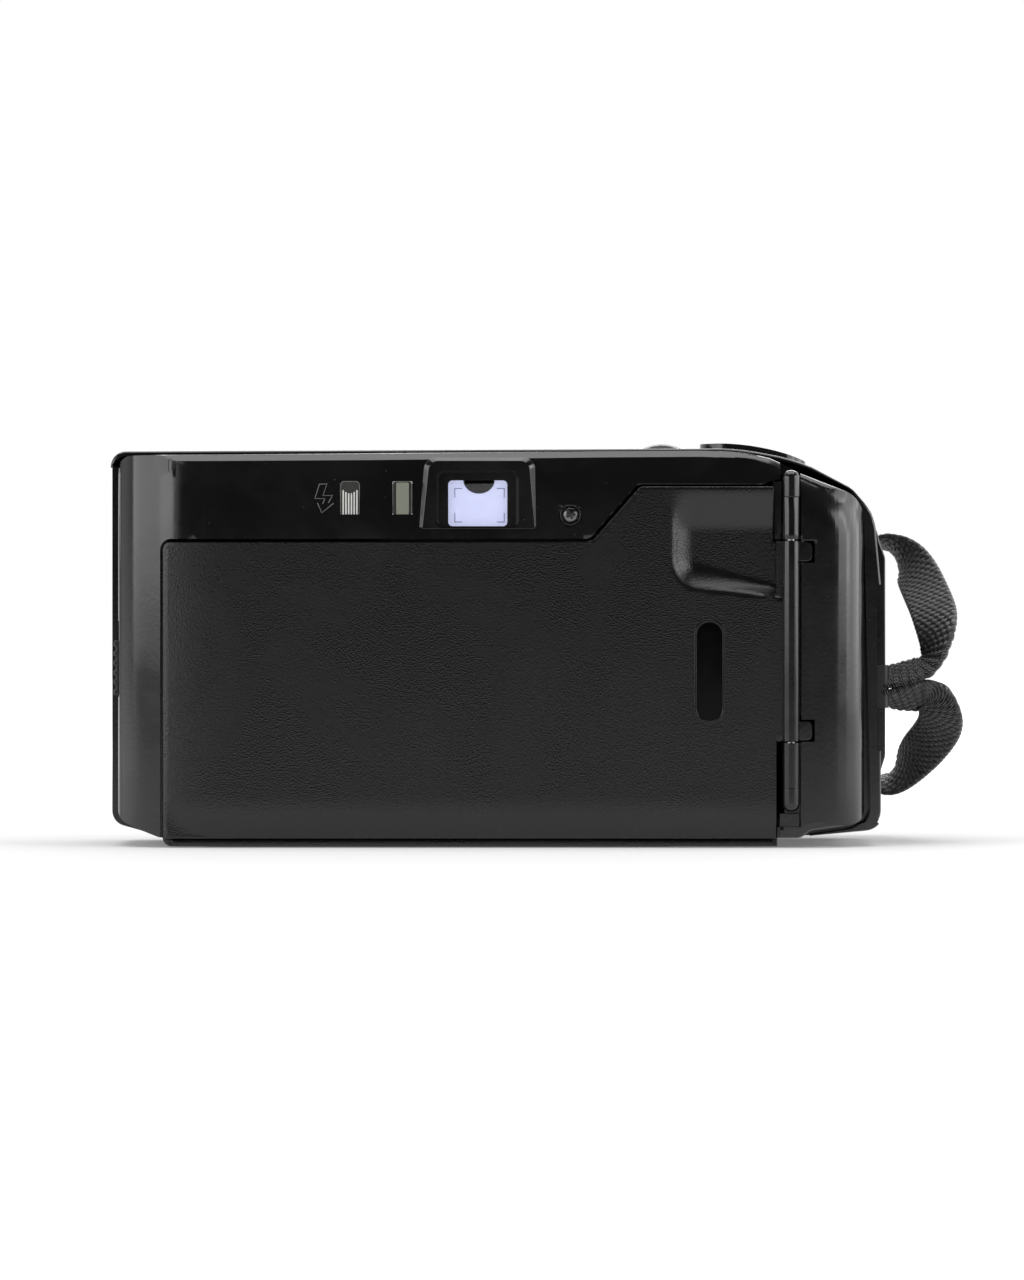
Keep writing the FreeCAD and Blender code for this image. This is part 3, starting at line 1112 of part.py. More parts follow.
def make_finder():
    x = -s.eyepiece_x
    hood = prism("hood_ring", "XZ", rear - s.hood_rise, s.hood_rise, [
        (x - s.hood_half_low, s.eyepiece_low - 0.1), (x + s.hood_half_low, s.eyepiece_low - 0.1),
        (x + s.hood_half_top, s.hood_top, 1.8), (x - s.hood_half_top, s.hood_top, 1.8)])
    span = eyepiece_span(-clear - 0.05)
    sleeve = box("hood_sleeve", span, (rear - 0.1, rear + 2.2), (s.eyepiece_low + 0.35, s.eyepiece_high - 0.35))
    opening = prism("hood_opening", "XZ", rear - 2, 6,
                    oblong(span[0] + 1, span[1] - 1, s.eyepiece_low + 1.35, s.eyepiece_high - 1.35, 0.9))
    step = prism("hood_step", "XZ", rear - 2, 1.7 + s.hood_rise,
                 oblong(span[0] + 0.3, span[1] - 0.3, s.eyepiece_low + 0.65, s.eyepiece_high - 0.65, 1.2))
    node("eyepiece_frame", cut("hood_cut", fuse("hood_whole", hood, sleeve), opening, step))
    node("eyepiece_lens", prism("eyepiece_block", "XZ", rear + 0.4, 1.7,
                                oblong(span[0] + 1.05, span[1] - 1.05, s.eyepiece_low + 1.4,
                                       s.eyepiece_high - 1.4, 0.85)))
    tube_back = rear + 2.25
    tube_front = front - s.cover_wall - 0.1
    outer = box("finder_outside", eyepiece_span(0), (tube_back, tube_front),
                (s.chassis_high, s.eyepiece_high - 0.3))
    wall = s.finder_wall
    inner_span = eyepiece_span(-wall)
    inner_z = (s.chassis_high + wall, s.eyepiece_high - 0.3 - wall)
    inner = box("finder_inside", inner_span, (tube_back - 1, tube_front + 1), inner_z)
    node("finder_tube", cut("finder_cut", outer, inner))
    node("finder_objective", box("objective_block", (inner_span[0] + 0.05, inner_span[1] - 0.05),
                                 (tube_front - 3.5, tube_front - 1.5), (inner_z[0] + 0.05, inner_z[1] - 0.05)))
    mask = cut("mask_cut", box("mask_block", (inner_span[0] + 0.05, inner_span[1] - 0.05), (-4, -3.4),
                               (inner_z[0] + 0.05, inner_z[1] - 0.05)),
               box("mask_hole", (inner_span[0] + 2, inner_span[1] - 2), (-5, 0),
                   (inner_z[0] + 1.3, inner_z[1] - 1.3)))
    node("finder_mask", mask)
    for name, place in (("flash_ready_lens", s.flash_lamp_x), ("focus_lamp_lens", s.focus_lamp_x)):
        block = box(name + "_block", lamp_span(place, 0.02), (rear - 0.1, rear + s.cover_wall + 0.4),
                    (s.lamp_low + 0.02, s.lamp_high - 0.02))
        node(name, soften(name + "_edge", block, 0.8, along("Y")))
    pane = prism("window_pane", "XZ", front - 1.2, 1.2,
                 oblong(front_window_span()[0] + 0.02, front_window_span()[1] - 0.02,
                        s.eyepiece_low + 0.02, s.eyepiece_high - 1.02, 0.4))
    node("front_window", pane)
    node("rear_screw", turned("rear_screw_turn", (s.screw_x, rear + 0.9, s.screw_z), "Y",
                              [(0, 0), (0, -0.75), (s.screw_head_r, -0.5), (s.screw_head_r, 0),
                               (s.screw_body_r, 0), (s.screw_body_r, 4.5), (0, 4.5)]))


def make_lens():
    lift = lens_tip - front
    node("lens_bezel", turned(
        "lens_ring", (0, front, s.film_z), "Y",
        [(s.lens_bore, -s.cover_wall - 0.6), (s.lens_bore + 1.1, -s.cover_wall - 0.6),
         (s.lens_bore + 1.1, -0.6), (s.lens_r, -0.6), (s.lens_r, lift * 0.35), (s.lens_r - 0.8, lift * 0.4),
         (s.lens_r - 0.8, lift * 0.6), (s.lens_tip_r, lift - 0.8, 0.5), (s.lens_tip_r - 0.8, lift),
         (s.lens_bore + 2, lift), (s.lens_bore, lift - 1.2)]))
    node("shutter_unit", turned(
        "shutter_ring", (0, s.chassis_front, s.film_z), "Y",
        [(s.rear_glass_r + 1, 0), (s.shutter_r, 0), (s.shutter_r, s.shutter_depth),
         (s.rear_glass_r + 1, s.shutter_depth)]))
    cell_back = s.chassis_front + s.shutter_depth + 0.3
    cell_long = lens_tip - 1 - s.cell_travel - cell_back
    glass_seat = cell_long - 3
    node("lens_cell", turned(
        "cell_barrel", (0, cell_back, s.film_z), "Y",
        [(s.rear_glass_r + 0.02, 0), (s.cell_r, 0), (s.cell_r, cell_long, 0.4),
         (s.front_glass_r + 1.6, cell_long),
         (s.front_glass_r + 0.02, cell_long - 1.4), (s.front_glass_r + 0.02, glass_seat - 1.2),
         (s.rear_glass_r - 0.8, glass_seat - 1.2), (s.rear_glass_r - 0.8, 2.4), (s.rear_glass_r + 0.02, 2.4)]))
    node("front_element", glass("front_glass", cell_back + glass_seat, s.front_glass_r, 1.1, 0.9))
    node("rear_element", glass("rear_glass", cell_back + 1.2, s.rear_glass_r, 1.0, 0.2))


def glass(name, y, radius, edge, crown):
    """A lens element: a cylinder edge with a spherical face in front."""
    sphere_r = (radius * radius + crown * crown) / (2 * crown)
    rim = rod(name + "_edge", (0, y - edge, s.film_z), radius, edge + crown, "Y")
    ball = add("Part::Sphere", name + "_face")
    bind(ball, "Radius", sphere_r)
    move(ball, (0, y + crown - sphere_r, s.film_z))
    return common(name + "_body", rim, ball)


def make_flash():
    middle = -(s.flash_left + s.flash_right) / 2
    node("flash_window", prism("flash_pane", "XZ", front - 1.5, 1.5,
                               oblong(-s.flash_left + 0.02, -s.flash_right - 0.02, s.flash_low + 0.02,
                                      s.flash_high - 0.02, 0.5)))
    back = front - 8.5
    mid_z = (s.flash_low + s.flash_high) / 2
    half = (s.flash_high - s.flash_low) / 2 - 0.3
    outer = prism("reflector_block", "YZ", -s.flash_left + 0.3, s.flash_left - s.flash_right - 0.6,
                  [(front - 1.8, mid_z + half), (front - 1.8, mid_z - half), (back + 1, mid_z - 2.6, 1.0),
                   (back, mid_z - 1.2), (back, mid_z + 1.2), (back + 1, mid_z + 2.6, 1.0)])
    inner = prism("reflector_room", "YZ", -s.flash_left + 0.8, s.flash_left - s.flash_right - 1.6,
                  [(front - 1.7, mid_z + half - 0.5), (front - 1.7, mid_z - half + 0.5),
                   (back + 1.7, mid_z - 2.2, 0.8), (back + 0.5, mid_z - 0.9), (back + 0.5, mid_z + 0.9),
                   (back + 1.7, mid_z + 2.2, 0.8)])
    node("flash_reflector", cut("reflector_cut", outer, inner))
    node("flash_tube", rod("flash_rod", (-s.flash_left + 0.8, back + 2.0, mid_z), 1.0,
                           s.flash_left - s.flash_right - 1.6, "X"))
    node("flash_capacitor", turned(
        "capacitor_can", (-s.motor_x, s.capacitor_y, s.capacitor_low), "Z",
        [(0, 0), (s.capacitor_r, 0), (s.capacitor_r, s.capacitor_high - s.capacitor_low),
         (0, s.capacitor_high - s.capacitor_low)]))


def make_power():
    places = ((s.inner_cell_x, 1), (s.outer_cell_x, -1))
    cells = []
    for x, way in places:
        low, tall = s.cell_low, s.cell_tall
        shape = [(0, 0), (4, 0), (4, 0.4), (s.cell_radius, 0.4), (s.cell_radius, tall - 1.2),
                 (2.7, tall - 1.2), (2.7, tall), (0, tall)]
        at = (x, s.cell_y, low if way > 0 else low + tall)
        cells.append(turned("cell", at, "Z" if way > 0 else "-Z", shape))
    node("battery_cells", group("cell_pair", cells))
    node("battery_bridge", prism("bridge_sheet", "XY", s.cell_top + 0.02, 0.5,
                                 oblong(s.inner_cell_x - 4, s.outer_cell_x + 4, s.cell_y - 3.5,
                                        s.cell_y + 3.5, 1.5)))
    low = s.bottom_edge - s.hatch_drop
    hatch = prism("hatch_plate", "XZ", s.hatch_back, s.hatch_front - s.hatch_back, [
        (s.hatch_left, low, 0.8), (s.hinge_x, low), (s.hatch_right, low + s.right_lift * 0.9, 0.8),
        (s.hatch_right, low + s.right_lift * 0.9 + s.hatch_thick),
        (s.hinge_x, low + s.hatch_thick), (s.hatch_left, low + s.hatch_thick)])
    barrel = rod("hatch_barrel", (s.hatch_left + 0.9, s.hatch_back, low + 0.9), 0.9,
                 s.hatch_front - s.hatch_back, "Y")
    node("battery_door", fuse("hatch_whole", hatch, barrel))
    strip = prism("contact_sheet", "XY", low + s.hatch_thick + s.right_lift * 0.9 + 0.05, 0.4,
                  oblong(s.inner_cell_x - 4.5, s.outer_cell_x + 4.5, s.cell_y - 3, s.cell_y + 3, 1.0))
    foot = box("contact_foot", (s.inner_cell_x - 3, s.inner_cell_x + 3), (s.cell_y - 2, s.cell_y + 2),
               (low + s.hatch_thick, low + s.hatch_thick + s.right_lift + 0.2))
    node("battery_contact", fuse("contact_whole", strip, foot))
    board_low = s.eyepiece_high - 0.3
    node("circuit_board", prism("board_sheet", "XY", board_low, s.board_thick,
                                oblong(-36, s.counter_x + 4.5, -8.4, front - s.cover_wall - 0.6, 1.0),
                                [(s.counter_x, -s.counter_y, 0.85)]))


def make_controls():
    top = s.body_top
    board_top = s.eyepiece_high - 0.3 + s.board_thick
    node("counter_dial", turned("dial_turn", (s.counter_x, -s.counter_y, board_top), "Z",
                                [(0, -2.5), (0.8, -2.5), (0.8, 0.15), (s.dial_r, 0.15), (s.dial_r, 0.75),
                                 (0, 0.75)]))
    window_r = s.counter_r
    sphere_r = (window_r * window_r + s.counter_rise * s.counter_rise) / (2 * s.counter_rise)
    ball_at = (s.counter_x, -s.counter_y, top + s.counter_rise - sphere_r)
    dome = common("counter_dome",
                  rod("counter_rod", (s.counter_x, -s.counter_y, top), window_r, s.counter_rise),
                  move_ball("counter_ball", sphere_r, ball_at))
    plug = rod("counter_plug", (s.counter_x, -s.counter_y, top - 1.5), window_r - 0.55, 1.6)
    node("counter_window", fuse("counter_whole", dome, plug))

    face = flat("button_slope", "XZ", body_outline())
    skin = extrude("button_skin", offset("button_skin_line", face, s.button_rise), "XZ", -s.button_wide,
                   s.button_wide * 2)
    core = extrude("button_under", offset("button_under_line", face, -s.cover_wall - 0.6), "XZ",
                   -s.button_wide, s.button_wide * 2)
    oval = prism("button_oval", "XY", top - 12, 16,
                 ellipse_outline(s.button_x, 0, s.button_long / 2, s.button_wide / 2))
    cap = cut("button_cap", common("button_solid", oval, skin), core)
    stem_low = switch_top + 4.5
    stem = rod("button_stem", (s.button_x, 0, stem_low), 1.6, top + 0.1 - stem_low)
    node("shutter_button", fuse("button_whole", cap, stem))
    node("button_spring", coil("button_coil", s.button_x, 0, switch_top + 0.02, 4.4, 1.2, 3))
    node("release_switch", box("switch_block", (s.button_x - 4, s.button_x + 4), (-4, 4),
                               (s.chassis_high, switch_top)))
    node("self_timer_button", turned("timer_cap", (timer_button_x, timer_button_y, top), "Z",
                                     [(0, -0.1), (2.2, -0.1, 0.4), (2.2, -1.9), (3.2, -1.9), (3.2, -2.5),
                                      (0, -2.5)]))
    node("rewind_button", turned("rewind_cap", (rewind_x, rewind_y, s.bottom_edge), "Z",
                                 [(0, -0.9), (1.2, -0.9), (1.2, s.cover_wall + 0.1), (1.9, s.cover_wall + 0.1),
                                  (1.9, s.cover_wall + 0.4), (0, s.cover_wall + 0.4)]))
    node("self_timer_lamp", rod("timer_lamp_rod", (timer_lamp_x, front - 2.2, s.film_z + 20), 1.45, 2.3, "Y"))


def move_ball(name, radius, at):
    ball = add("Part::Sphere", name)
    bind(ball, "Radius", radius)
    return move(ball, at)


def make_strap_fittings():
    right = s.body_right
    node("strap_bar", prism("bar_bow", "XZ", bar_y - s.bar_wide / 2, s.bar_wide, [
        (right, s.bar_low), (right + s.bar_proud, s.bar_low + 5, 3.0),
        (right + s.bar_proud, s.bar_high - 5, 3.0), (right, s.bar_high)]))


# The strap's route from the bar and back to it, chosen by hand from what shows at the camera's
# right end. Each point has the direction of the webbing's width.
STRAP_ROUTE = [
    ((66.3, -2.0, 29.4), (0.0, -0.8, -0.6)),
    ((70.0, -3.0, 29.0), (0.0, -0.8, -0.6)),
    ((74.5, -3.2, 29.2), (0.2, -0.85, -0.5)),
    ((77.2, -2.6, 32.0), (0.6, -0.75, -0.2)),
    ((75.6, 0.0, 37.0), (0.9, -0.25, 0.35)),
    ((73.6, 3.0, 42.0), (0.9, -0.1, 0.4)),
    ((72.8, 10.0, 47.2), (0.95, 0.0, 0.3)),
    ((71.2, 20.0, 50.4), (0.95, 0.25, 0.1)),
    ((68.0, 30.0, 51.0), (0.89, 0.45, 0.0)),
    ((64.4, 37.1, 49.0), (0.89, 0.45, 0.0)),
    ((61.3, 43.3, 41.0), (0.89, 0.45, 0.0)),
    ((59.7, 46.5, 28.0), (0.89, 0.45, 0.0)),
    ((59.7, 46.5, 14.0), (0.89, 0.45, 0.0)),
    ((61.5, 42.9, 3.0), (0.89, 0.45, 0.0)),
    ((64.4, 37.1, 0.1), (0.89, 0.45, 0.0)),
    ((66.7, 32.7, 3.4), (0.89, 0.45, 0.0)),
    ((68.6, 28.0, 8.2), (0.9, 0.4, 0.0)),
    ((71.4, 20.0, 11.0), (0.95, 0.25, -0.1)),
    ((72.8, 10.0, 14.2), (0.95, 0.0, -0.3)),
    ((73.8, 3.0, 18.5), (0.87, -0.1, -0.45)),
    ((76.8, -1.0, 22.0), (0.6, -0.75, 0.1)),
    ((76.0, -3.6, 25.2), (0.2, -0.85, 0.5)),
    ((71.0, -3.0, 24.4), (0.0, -0.8, 0.6)),
    ((66.3, -2.0, 24.0), (0.0, -0.8, 0.6)),
]
STRAP_STEPS = 4


def strap_stations():
    """Places along the route's smooth line, each with its heading and the webbing's width."""
    points = [(vec(*place), vec(*width)) for place, width in STRAP_ROUTE]
    last = len(points) - 1
    stations = []
    for i in range(1, last):
        ends = []
        for beside, outermost in ((points[i - 1], i == 1), (points[i + 1], i == last - 1)):
            ends.append(beside if outermost else tuple((a + b) * 0.5 for a, b in zip(beside, points[i])))
        for step in range(STRAP_STEPS + (i == last - 1)):
            part = step / STRAP_STEPS
            place, width = (a * (1 - part) ** 2 + b * (2 * part * (1 - part)) + c * part ** 2
                            for a, b, c in zip(ends[0], points[i], ends[1]))
            heading = ((points[i][0] - ends[0][0]) * (1 - part)
                       + (ends[1][0] - points[i][0]) * part).normalize()
            stations.append((place, heading, (width - heading * width.dot(heading)).normalize()))
    return stations


def make_strap():
    sections = []
    length = 0
    stations = strap_stations()
    for place, heading, across in stations:
        flatwise = heading.cross(across)
        half = across * (s.webbing / 2)
        thick = flatwise * (s.webbing_thick / 2)
        sections.append(Part.makePolygon([place + half + thick, place - half + thick, place - half - thick,
                                          place + half - thick, place + half + thick]))
    for (first, _, _), (second, _, _) in zip(stations, stations[1:]):
        length += (second - first).Length
    strap = add("Part::Feature", "strap_webbing")
    strap.Shape = Part.makeLoft(sections, True, True)
    strap.Placement = FreeCAD.Placement()
    print("strap length", round(length, 1), "volume ratio",
          round(strap.Shape.Volume / (length * s.webbing * s.webbing_thick), 3))
    node("strap", strap)
    reach = 1.0
    wrap = box("hitch_wrap", (s.body_right - 1.15, s.body_right + s.bar_proud + reach),
               (bar_y - s.bar_wide / 2 - reach, bar_y + s.bar_wide / 2 + reach), (21.0, 32.4))
    rounded = soften("hitch_round", wrap, 0.9, along("Z"))
    node("strap_hitch", cut("hitch_cut", rounded, box(
        "hitch_room", (s.body_right, s.body_right + s.bar_proud),
        (bar_y - s.bar_wide / 2, bar_y + s.bar_wide / 2), (20.0, 33.0))))


def build():
    for make in (make_rear_cover, make_front_cover, make_base, make_chassis, make_film_path, make_door,
                 make_latch, make_finder, make_lens, make_flash, make_power, make_controls,
                 make_strap_fittings, make_strap):
        make()
    doc.recompute()
    faults = [thing.Name for thing in doc.Objects if "Invalid" in thing.State or "Error" in thing.State]
    for part in nodes:
        if part.Shape.isNull() or not part.Shape.isValid() or not part.Shape.Solids:
            faults.append(part.Label)
    if faults:
        raise RuntimeError("failed: " + ", ".join(faults))
    os.makedirs("parts", exist_ok=True)
    for part in nodes:
        part.Shape.exportStep("parts/%s.step" % part.Label)


build()
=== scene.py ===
"""Compact film camera seen from behind: finishes, moulded shapes, hand strap, light and view.

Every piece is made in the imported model's frame. Sizes are in millimetres and are turned into
metres where a mesh is made. X is the photographer's right, Y points away, Z is up.
"""

import logging
import math
from contextlib import contextmanager
from dataclasses import dataclass
from enum import Enum
from typing import Any, Callable, Iterator, Sequence

import bmesh
import bpy
import numpy as np
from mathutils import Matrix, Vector


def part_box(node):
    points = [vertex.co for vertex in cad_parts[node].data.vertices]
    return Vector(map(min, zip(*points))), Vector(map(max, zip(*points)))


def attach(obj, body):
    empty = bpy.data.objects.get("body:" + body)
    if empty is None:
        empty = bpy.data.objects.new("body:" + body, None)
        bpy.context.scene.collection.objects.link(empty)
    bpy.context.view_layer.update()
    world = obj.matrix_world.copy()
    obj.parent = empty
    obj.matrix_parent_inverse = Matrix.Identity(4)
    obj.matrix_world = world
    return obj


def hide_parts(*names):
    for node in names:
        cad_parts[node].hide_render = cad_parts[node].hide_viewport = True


LOG = logging.getLogger("film_camera")
MM = 0.001
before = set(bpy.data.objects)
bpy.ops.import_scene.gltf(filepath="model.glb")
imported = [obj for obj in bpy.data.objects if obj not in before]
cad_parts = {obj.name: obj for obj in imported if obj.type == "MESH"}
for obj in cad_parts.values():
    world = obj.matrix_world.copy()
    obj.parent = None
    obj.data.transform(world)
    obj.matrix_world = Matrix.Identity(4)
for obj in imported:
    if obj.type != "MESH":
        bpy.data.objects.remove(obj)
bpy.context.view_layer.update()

Point = tuple[float, float, float]
Colour = tuple[float, float, float]
Flat = tuple[float, float]
Outline = Sequence[Flat]


def span(node: str) -> tuple[Vector, Vector]:
    """Lowest and highest corner of a node, in millimetres.

    Args:
        node: the node's name.

    Returns:
        The two corners.
    """
    low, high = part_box(node)
    return low / MM, high / MM


# The flat rear face. The rear cover's box reaches further back, to its hinge knuckles.
REAR = -23.475
BODY_TOP = span("rear_cover")[1].z
LENS_Z = (span("lens_bezel")[0].z + span("lens_bezel")[1].z) / 2
ACROSS = Vector((1, 0, 0))
UPWARD = Vector((0, 0, 1))


class Axis(Enum):
    """Directions that a turned piece can point in, each as the turn that brings Z there."""

    Y = (-math.pi / 2, 0.0, 0.0)
    UP = (0.0, 0.0, 0.0)


def add_object(name: str, data: bpy.types.ID) -> bpy.types.Object:
    """Makes an object of some data and links it to the scene.

    Args:
        name: the object's name.
        data: its mesh, curve, lamp or camera.

    Returns:
        The object.
    """
    thing = bpy.data.objects.new(name, data)
    bpy.context.scene.collection.objects.link(thing)
    return thing


class Sheet:
    """Adds nodes to one node tree and links them."""

    def __init__(self, tree: bpy.types.NodeTree) -> None:
        """Keeps the tree.

        Args:
            tree: the tree that gets the nodes.
        """
        self.tree = tree

    def add(self, kind: str, values: dict[str, Any] | None = None, **settings: Any) -> bpy.types.Node:
        """Adds a node.

        Args:
            kind: the node's type name.
            values: socket names with a number, a colour or an output socket.
            settings: properties of the node itself.

        Returns:
            The new node.
        """
        made = self.tree.nodes.new(kind)
        for name, value in settings.items():
            setattr(made, name, value)
        for name, value in (values or {}).items():
            self.put(made.inputs[name], value)
        return made

    def put(self, socket: bpy.types.NodeSocket, value: Any) -> None:
        """Links an output to a socket, or sets the socket's own value.

        Args:
            socket: the input socket.
            value: an output socket, a number or a colour.
        """
        if isinstance(value, bpy.types.NodeSocket):
            self.tree.links.new(value, socket)
        elif socket.type == "RGBA" and len(value) == 3:
            socket.default_value = (*value, 1.0)
        else:
            socket.default_value = value

    def math(self, operation: str, first: Any, second: Any = 0.0, third: Any = 0.0,
             ) -> bpy.types.NodeSocket:
        """Adds a Math node.

        Args:
            operation: the node's operation.
            first: first number or socket.
            second: second number or socket.
            third: third number or socket.

        Returns:
            The node's output.
        """
        made = self.add("ShaderNodeMath", operation=operation)
        for socket, value in zip(made.inputs, (first, second, third)):
            self.put(socket, value)
        return made.outputs[0]

    def mix(self, factor: bpy.types.NodeSocket, low: Any, high: Any) -> bpy.types.NodeSocket:
        """Mixes two colours.

        Args:
            factor: how much of the second colour shows.
            low: the first colour or its socket.
            high: the second colour or its socket.

        Returns:
            The mixed colour.
        """
        made = self.add("ShaderNodeMix", data_type="RGBA")
        for place, value in ((0, factor), (6, low), (7, high)):
            self.put(made.inputs[place], value)
        return made.outputs[2]

    def ramp(self, factor: bpy.types.NodeSocket, low: float, high: float,
             to_low: float = 0.0, to_high: float = 1.0) -> bpy.types.NodeSocket:
        """Maps a range of numbers to another with smooth ends.

        Args:
            factor: the number to map.
            low: start of its range.
            high: end of its range.
            to_low: result at the start.
            to_high: result at the end.

        Returns:
            The mapped number.
        """
        made = self.add("ShaderNodeMapRange", {"Value": factor, "From Min": low, "From Max": high,
                                               "To Min": to_low, "To Max": to_high},
                        interpolation_type="SMOOTHSTEP")
        return made.outputs["Result"]


def new_group(name: str, inputs: dict[str, float], outputs: Sequence[str]) -> tuple:
    """Makes a shader group with number sockets.

    Args:
        name: the group's name.
        inputs: input names and their usual values.
        outputs: output names.

    Returns:
        The group, its sheet, its input node and its output node.
    """
    group = bpy.data.node_groups.new(name, "ShaderNodeTree")
    for label, value in inputs.items():
        socket = group.interface.new_socket(name=label, in_out="INPUT", socket_type="NodeSocketFloat")
        socket.default_value = value
    for label in outputs:
        group.interface.new_socket(name=label, in_out="OUTPUT", socket_type="NodeSocketFloat")
    sheet = Sheet(group)
    return group, sheet, sheet.add("NodeGroupInput"), sheet.add("NodeGroupOutput")


def grain_group() -> bpy.types.NodeTree:
    """Makes the moulded grain: a fine pebbled height in object space.

    Returns:
        The shader group.
    """
    group, sheet, given, result = new_group(
        "MouldedGrain", {"Scale": 3000.0, "Softness": 0.5}, ["Height"])
    place = sheet.add("ShaderNodeTexCoord").outputs["Object"]
    pebbles = sheet.add("ShaderNodeTexVoronoi", {"Vector": place, "Scale": given.outputs["Scale"]},
                        feature="SMOOTH_F1")
    sheet.put(pebbles.inputs["Smoothness"], given.outputs["Softness"])
    flecks = sheet.add("ShaderNodeTexNoise", {"Vector": place, "Scale": given.outputs["Scale"],
                                              "Detail": 3.0, "Roughness": 0.6})
    mixed = sheet.math("MULTIPLY_ADD", flecks.outputs[0], 0.6, pebbles.outputs["Distance"])
    sheet.put(result.inputs["Height"], mixed)
    return group


def handling_group() -> bpy.types.NodeTree:
    """Makes the marks of handling: soft smears and faint rubbed patches.

    Returns:
        The shader group.
    """
    group, sheet, given, result = new_group(
        "Handling", {"Scale": 60.0, "Low": 0.1, "High": 0.2}, ["Roughness", "Smear"])
    place = sheet.add("ShaderNodeTexCoord").outputs["Object"]
    broad = sheet.add("ShaderNodeTexNoise", {"Vector": place, "Scale": given.outputs["Scale"],
                                             "Detail": 5.0, "Roughness": 0.65, "Distortion": 0.6})
    smear = sheet.ramp(broad.outputs[0], 0.35, 0.68)
    spread = sheet.math("SUBTRACT", given.outputs["High"], given.outputs["Low"])
    rough = sheet.math("MULTIPLY_ADD", smear, spread, given.outputs["Low"])
    sheet.put(result.inputs["Roughness"], rough)
    sheet.put(result.inputs["Smear"], smear)
    return group


def dust_group() -> bpy.types.NodeTree:
    """Makes the loose dust: small pale specks, thinned out by a second pattern.

    Returns:
        The shader group.
    """
    group, sheet, given, result = new_group("Dust", {"Scale": 950.0, "Amount": 0.3}, ["Mask"])
    place = sheet.add("ShaderNodeTexCoord").outputs["Object"]
    cells = sheet.add("ShaderNodeTexVoronoi", {"Vector": place, "Scale": given.outputs["Scale"]})
    speck = sheet.ramp(cells.outputs["Distance"], 0.10, 0.06)
    chosen = sheet.add("ShaderNodeSeparateColor", {"Color": cells.outputs["Color"]})
    few = sheet.math("LESS_THAN", chosen.outputs[0], given.outputs["Amount"])
    sheet.put(result.inputs["Mask"], sheet.math("MULTIPLY", speck, few))
    return group


def brushed_group() -> bpy.types.NodeTree:
    """Makes drawn metal: long fine lines along Z.

    Returns:
        The shader group.
    """
    group, sheet, given, result = new_group("BrushedLines", {"Scale": 2500.0}, ["Height"])
    place = sheet.add("ShaderNodeTexCoord").outputs["Object"]
    stretched = sheet.add("ShaderNodeMapping", {"Vector": place, "Scale": (1.0, 1.0, 0.04)})
    lines = sheet.add("ShaderNodeTexNoise", {"Vector": stretched.outputs[0],
                                             "Scale": given.outputs["Scale"], "Detail": 2.0})
    sheet.put(result.inputs["Height"], lines.outputs[0])
    return group


class Effects:
    """The shader groups that several finishes share."""

    def __init__(self) -> None:
        """Builds each group once."""
        self.grain = grain_group()
        self.handling = handling_group()
        self.dust = dust_group()
        self.brushed = brushed_group()


def start_material(name: str, fixed: dict[str, Any],
                   ) -> tuple[bpy.types.Material, Sheet, bpy.types.Node]:
    """Makes a material with one Principled shader.

    Args:
        name: the material's name.
        fixed: the shader's values that are the same all over.

    Returns:
        The material, its sheet and its shader.
    """
    material = bpy.data.materials.new(name)
    material.use_nodes = True
    sheet = Sheet(material.node_tree)
    shader = material.node_tree.nodes["Principled BSDF"]
    for label, value in fixed.items():
        sheet.put(shader.inputs[label], value)
    return material, sheet, shader


def add_handling(sheet: Sheet, shader: bpy.types.Node, effects: Effects, scale: float,
                 rough: tuple[float, float]) -> bpy.types.NodeSocket:
    """Adds the marks of handling and gives the shader their roughness.

    Args:
        sheet: the material's sheet.
        shader: its shader.
        effects: the shared groups.
        scale: how fine the marks are.
        rough: the least and the greatest roughness.

    Returns:
        Where the smears lie.
    """
    marks = sheet.add("ShaderNodeGroup", {"Scale": scale, "Low": rough[0], "High": rough[1]},
                      node_tree=effects.handling)
    sheet.put(shader.inputs["Roughness"], marks.outputs["Roughness"])
    return marks.outputs["Smear"]


def add_bump(sheet: Sheet, shader: bpy.types.Node, height: bpy.types.NodeSocket, strength: float,
             deep: float) -> None:
    """Turns a height into the shader's fine relief.

    Args:
        sheet: the material's sheet.
        shader: its shader.
        height: the pattern's height.
        strength: the share of the relief that shows.
        deep: the relief's depth in millimetres.
    """
    bump = sheet.add("ShaderNodeBump", {"Strength": strength, "Distance": deep * MM, "Height": height})
    sheet.put(shader.inputs["Normal"], bump.outputs["Normal"])


def shaded(colour: Colour, share: float) -> Colour:
    """A darker tone of a colour."""
    return tuple(share * part for part in colour)


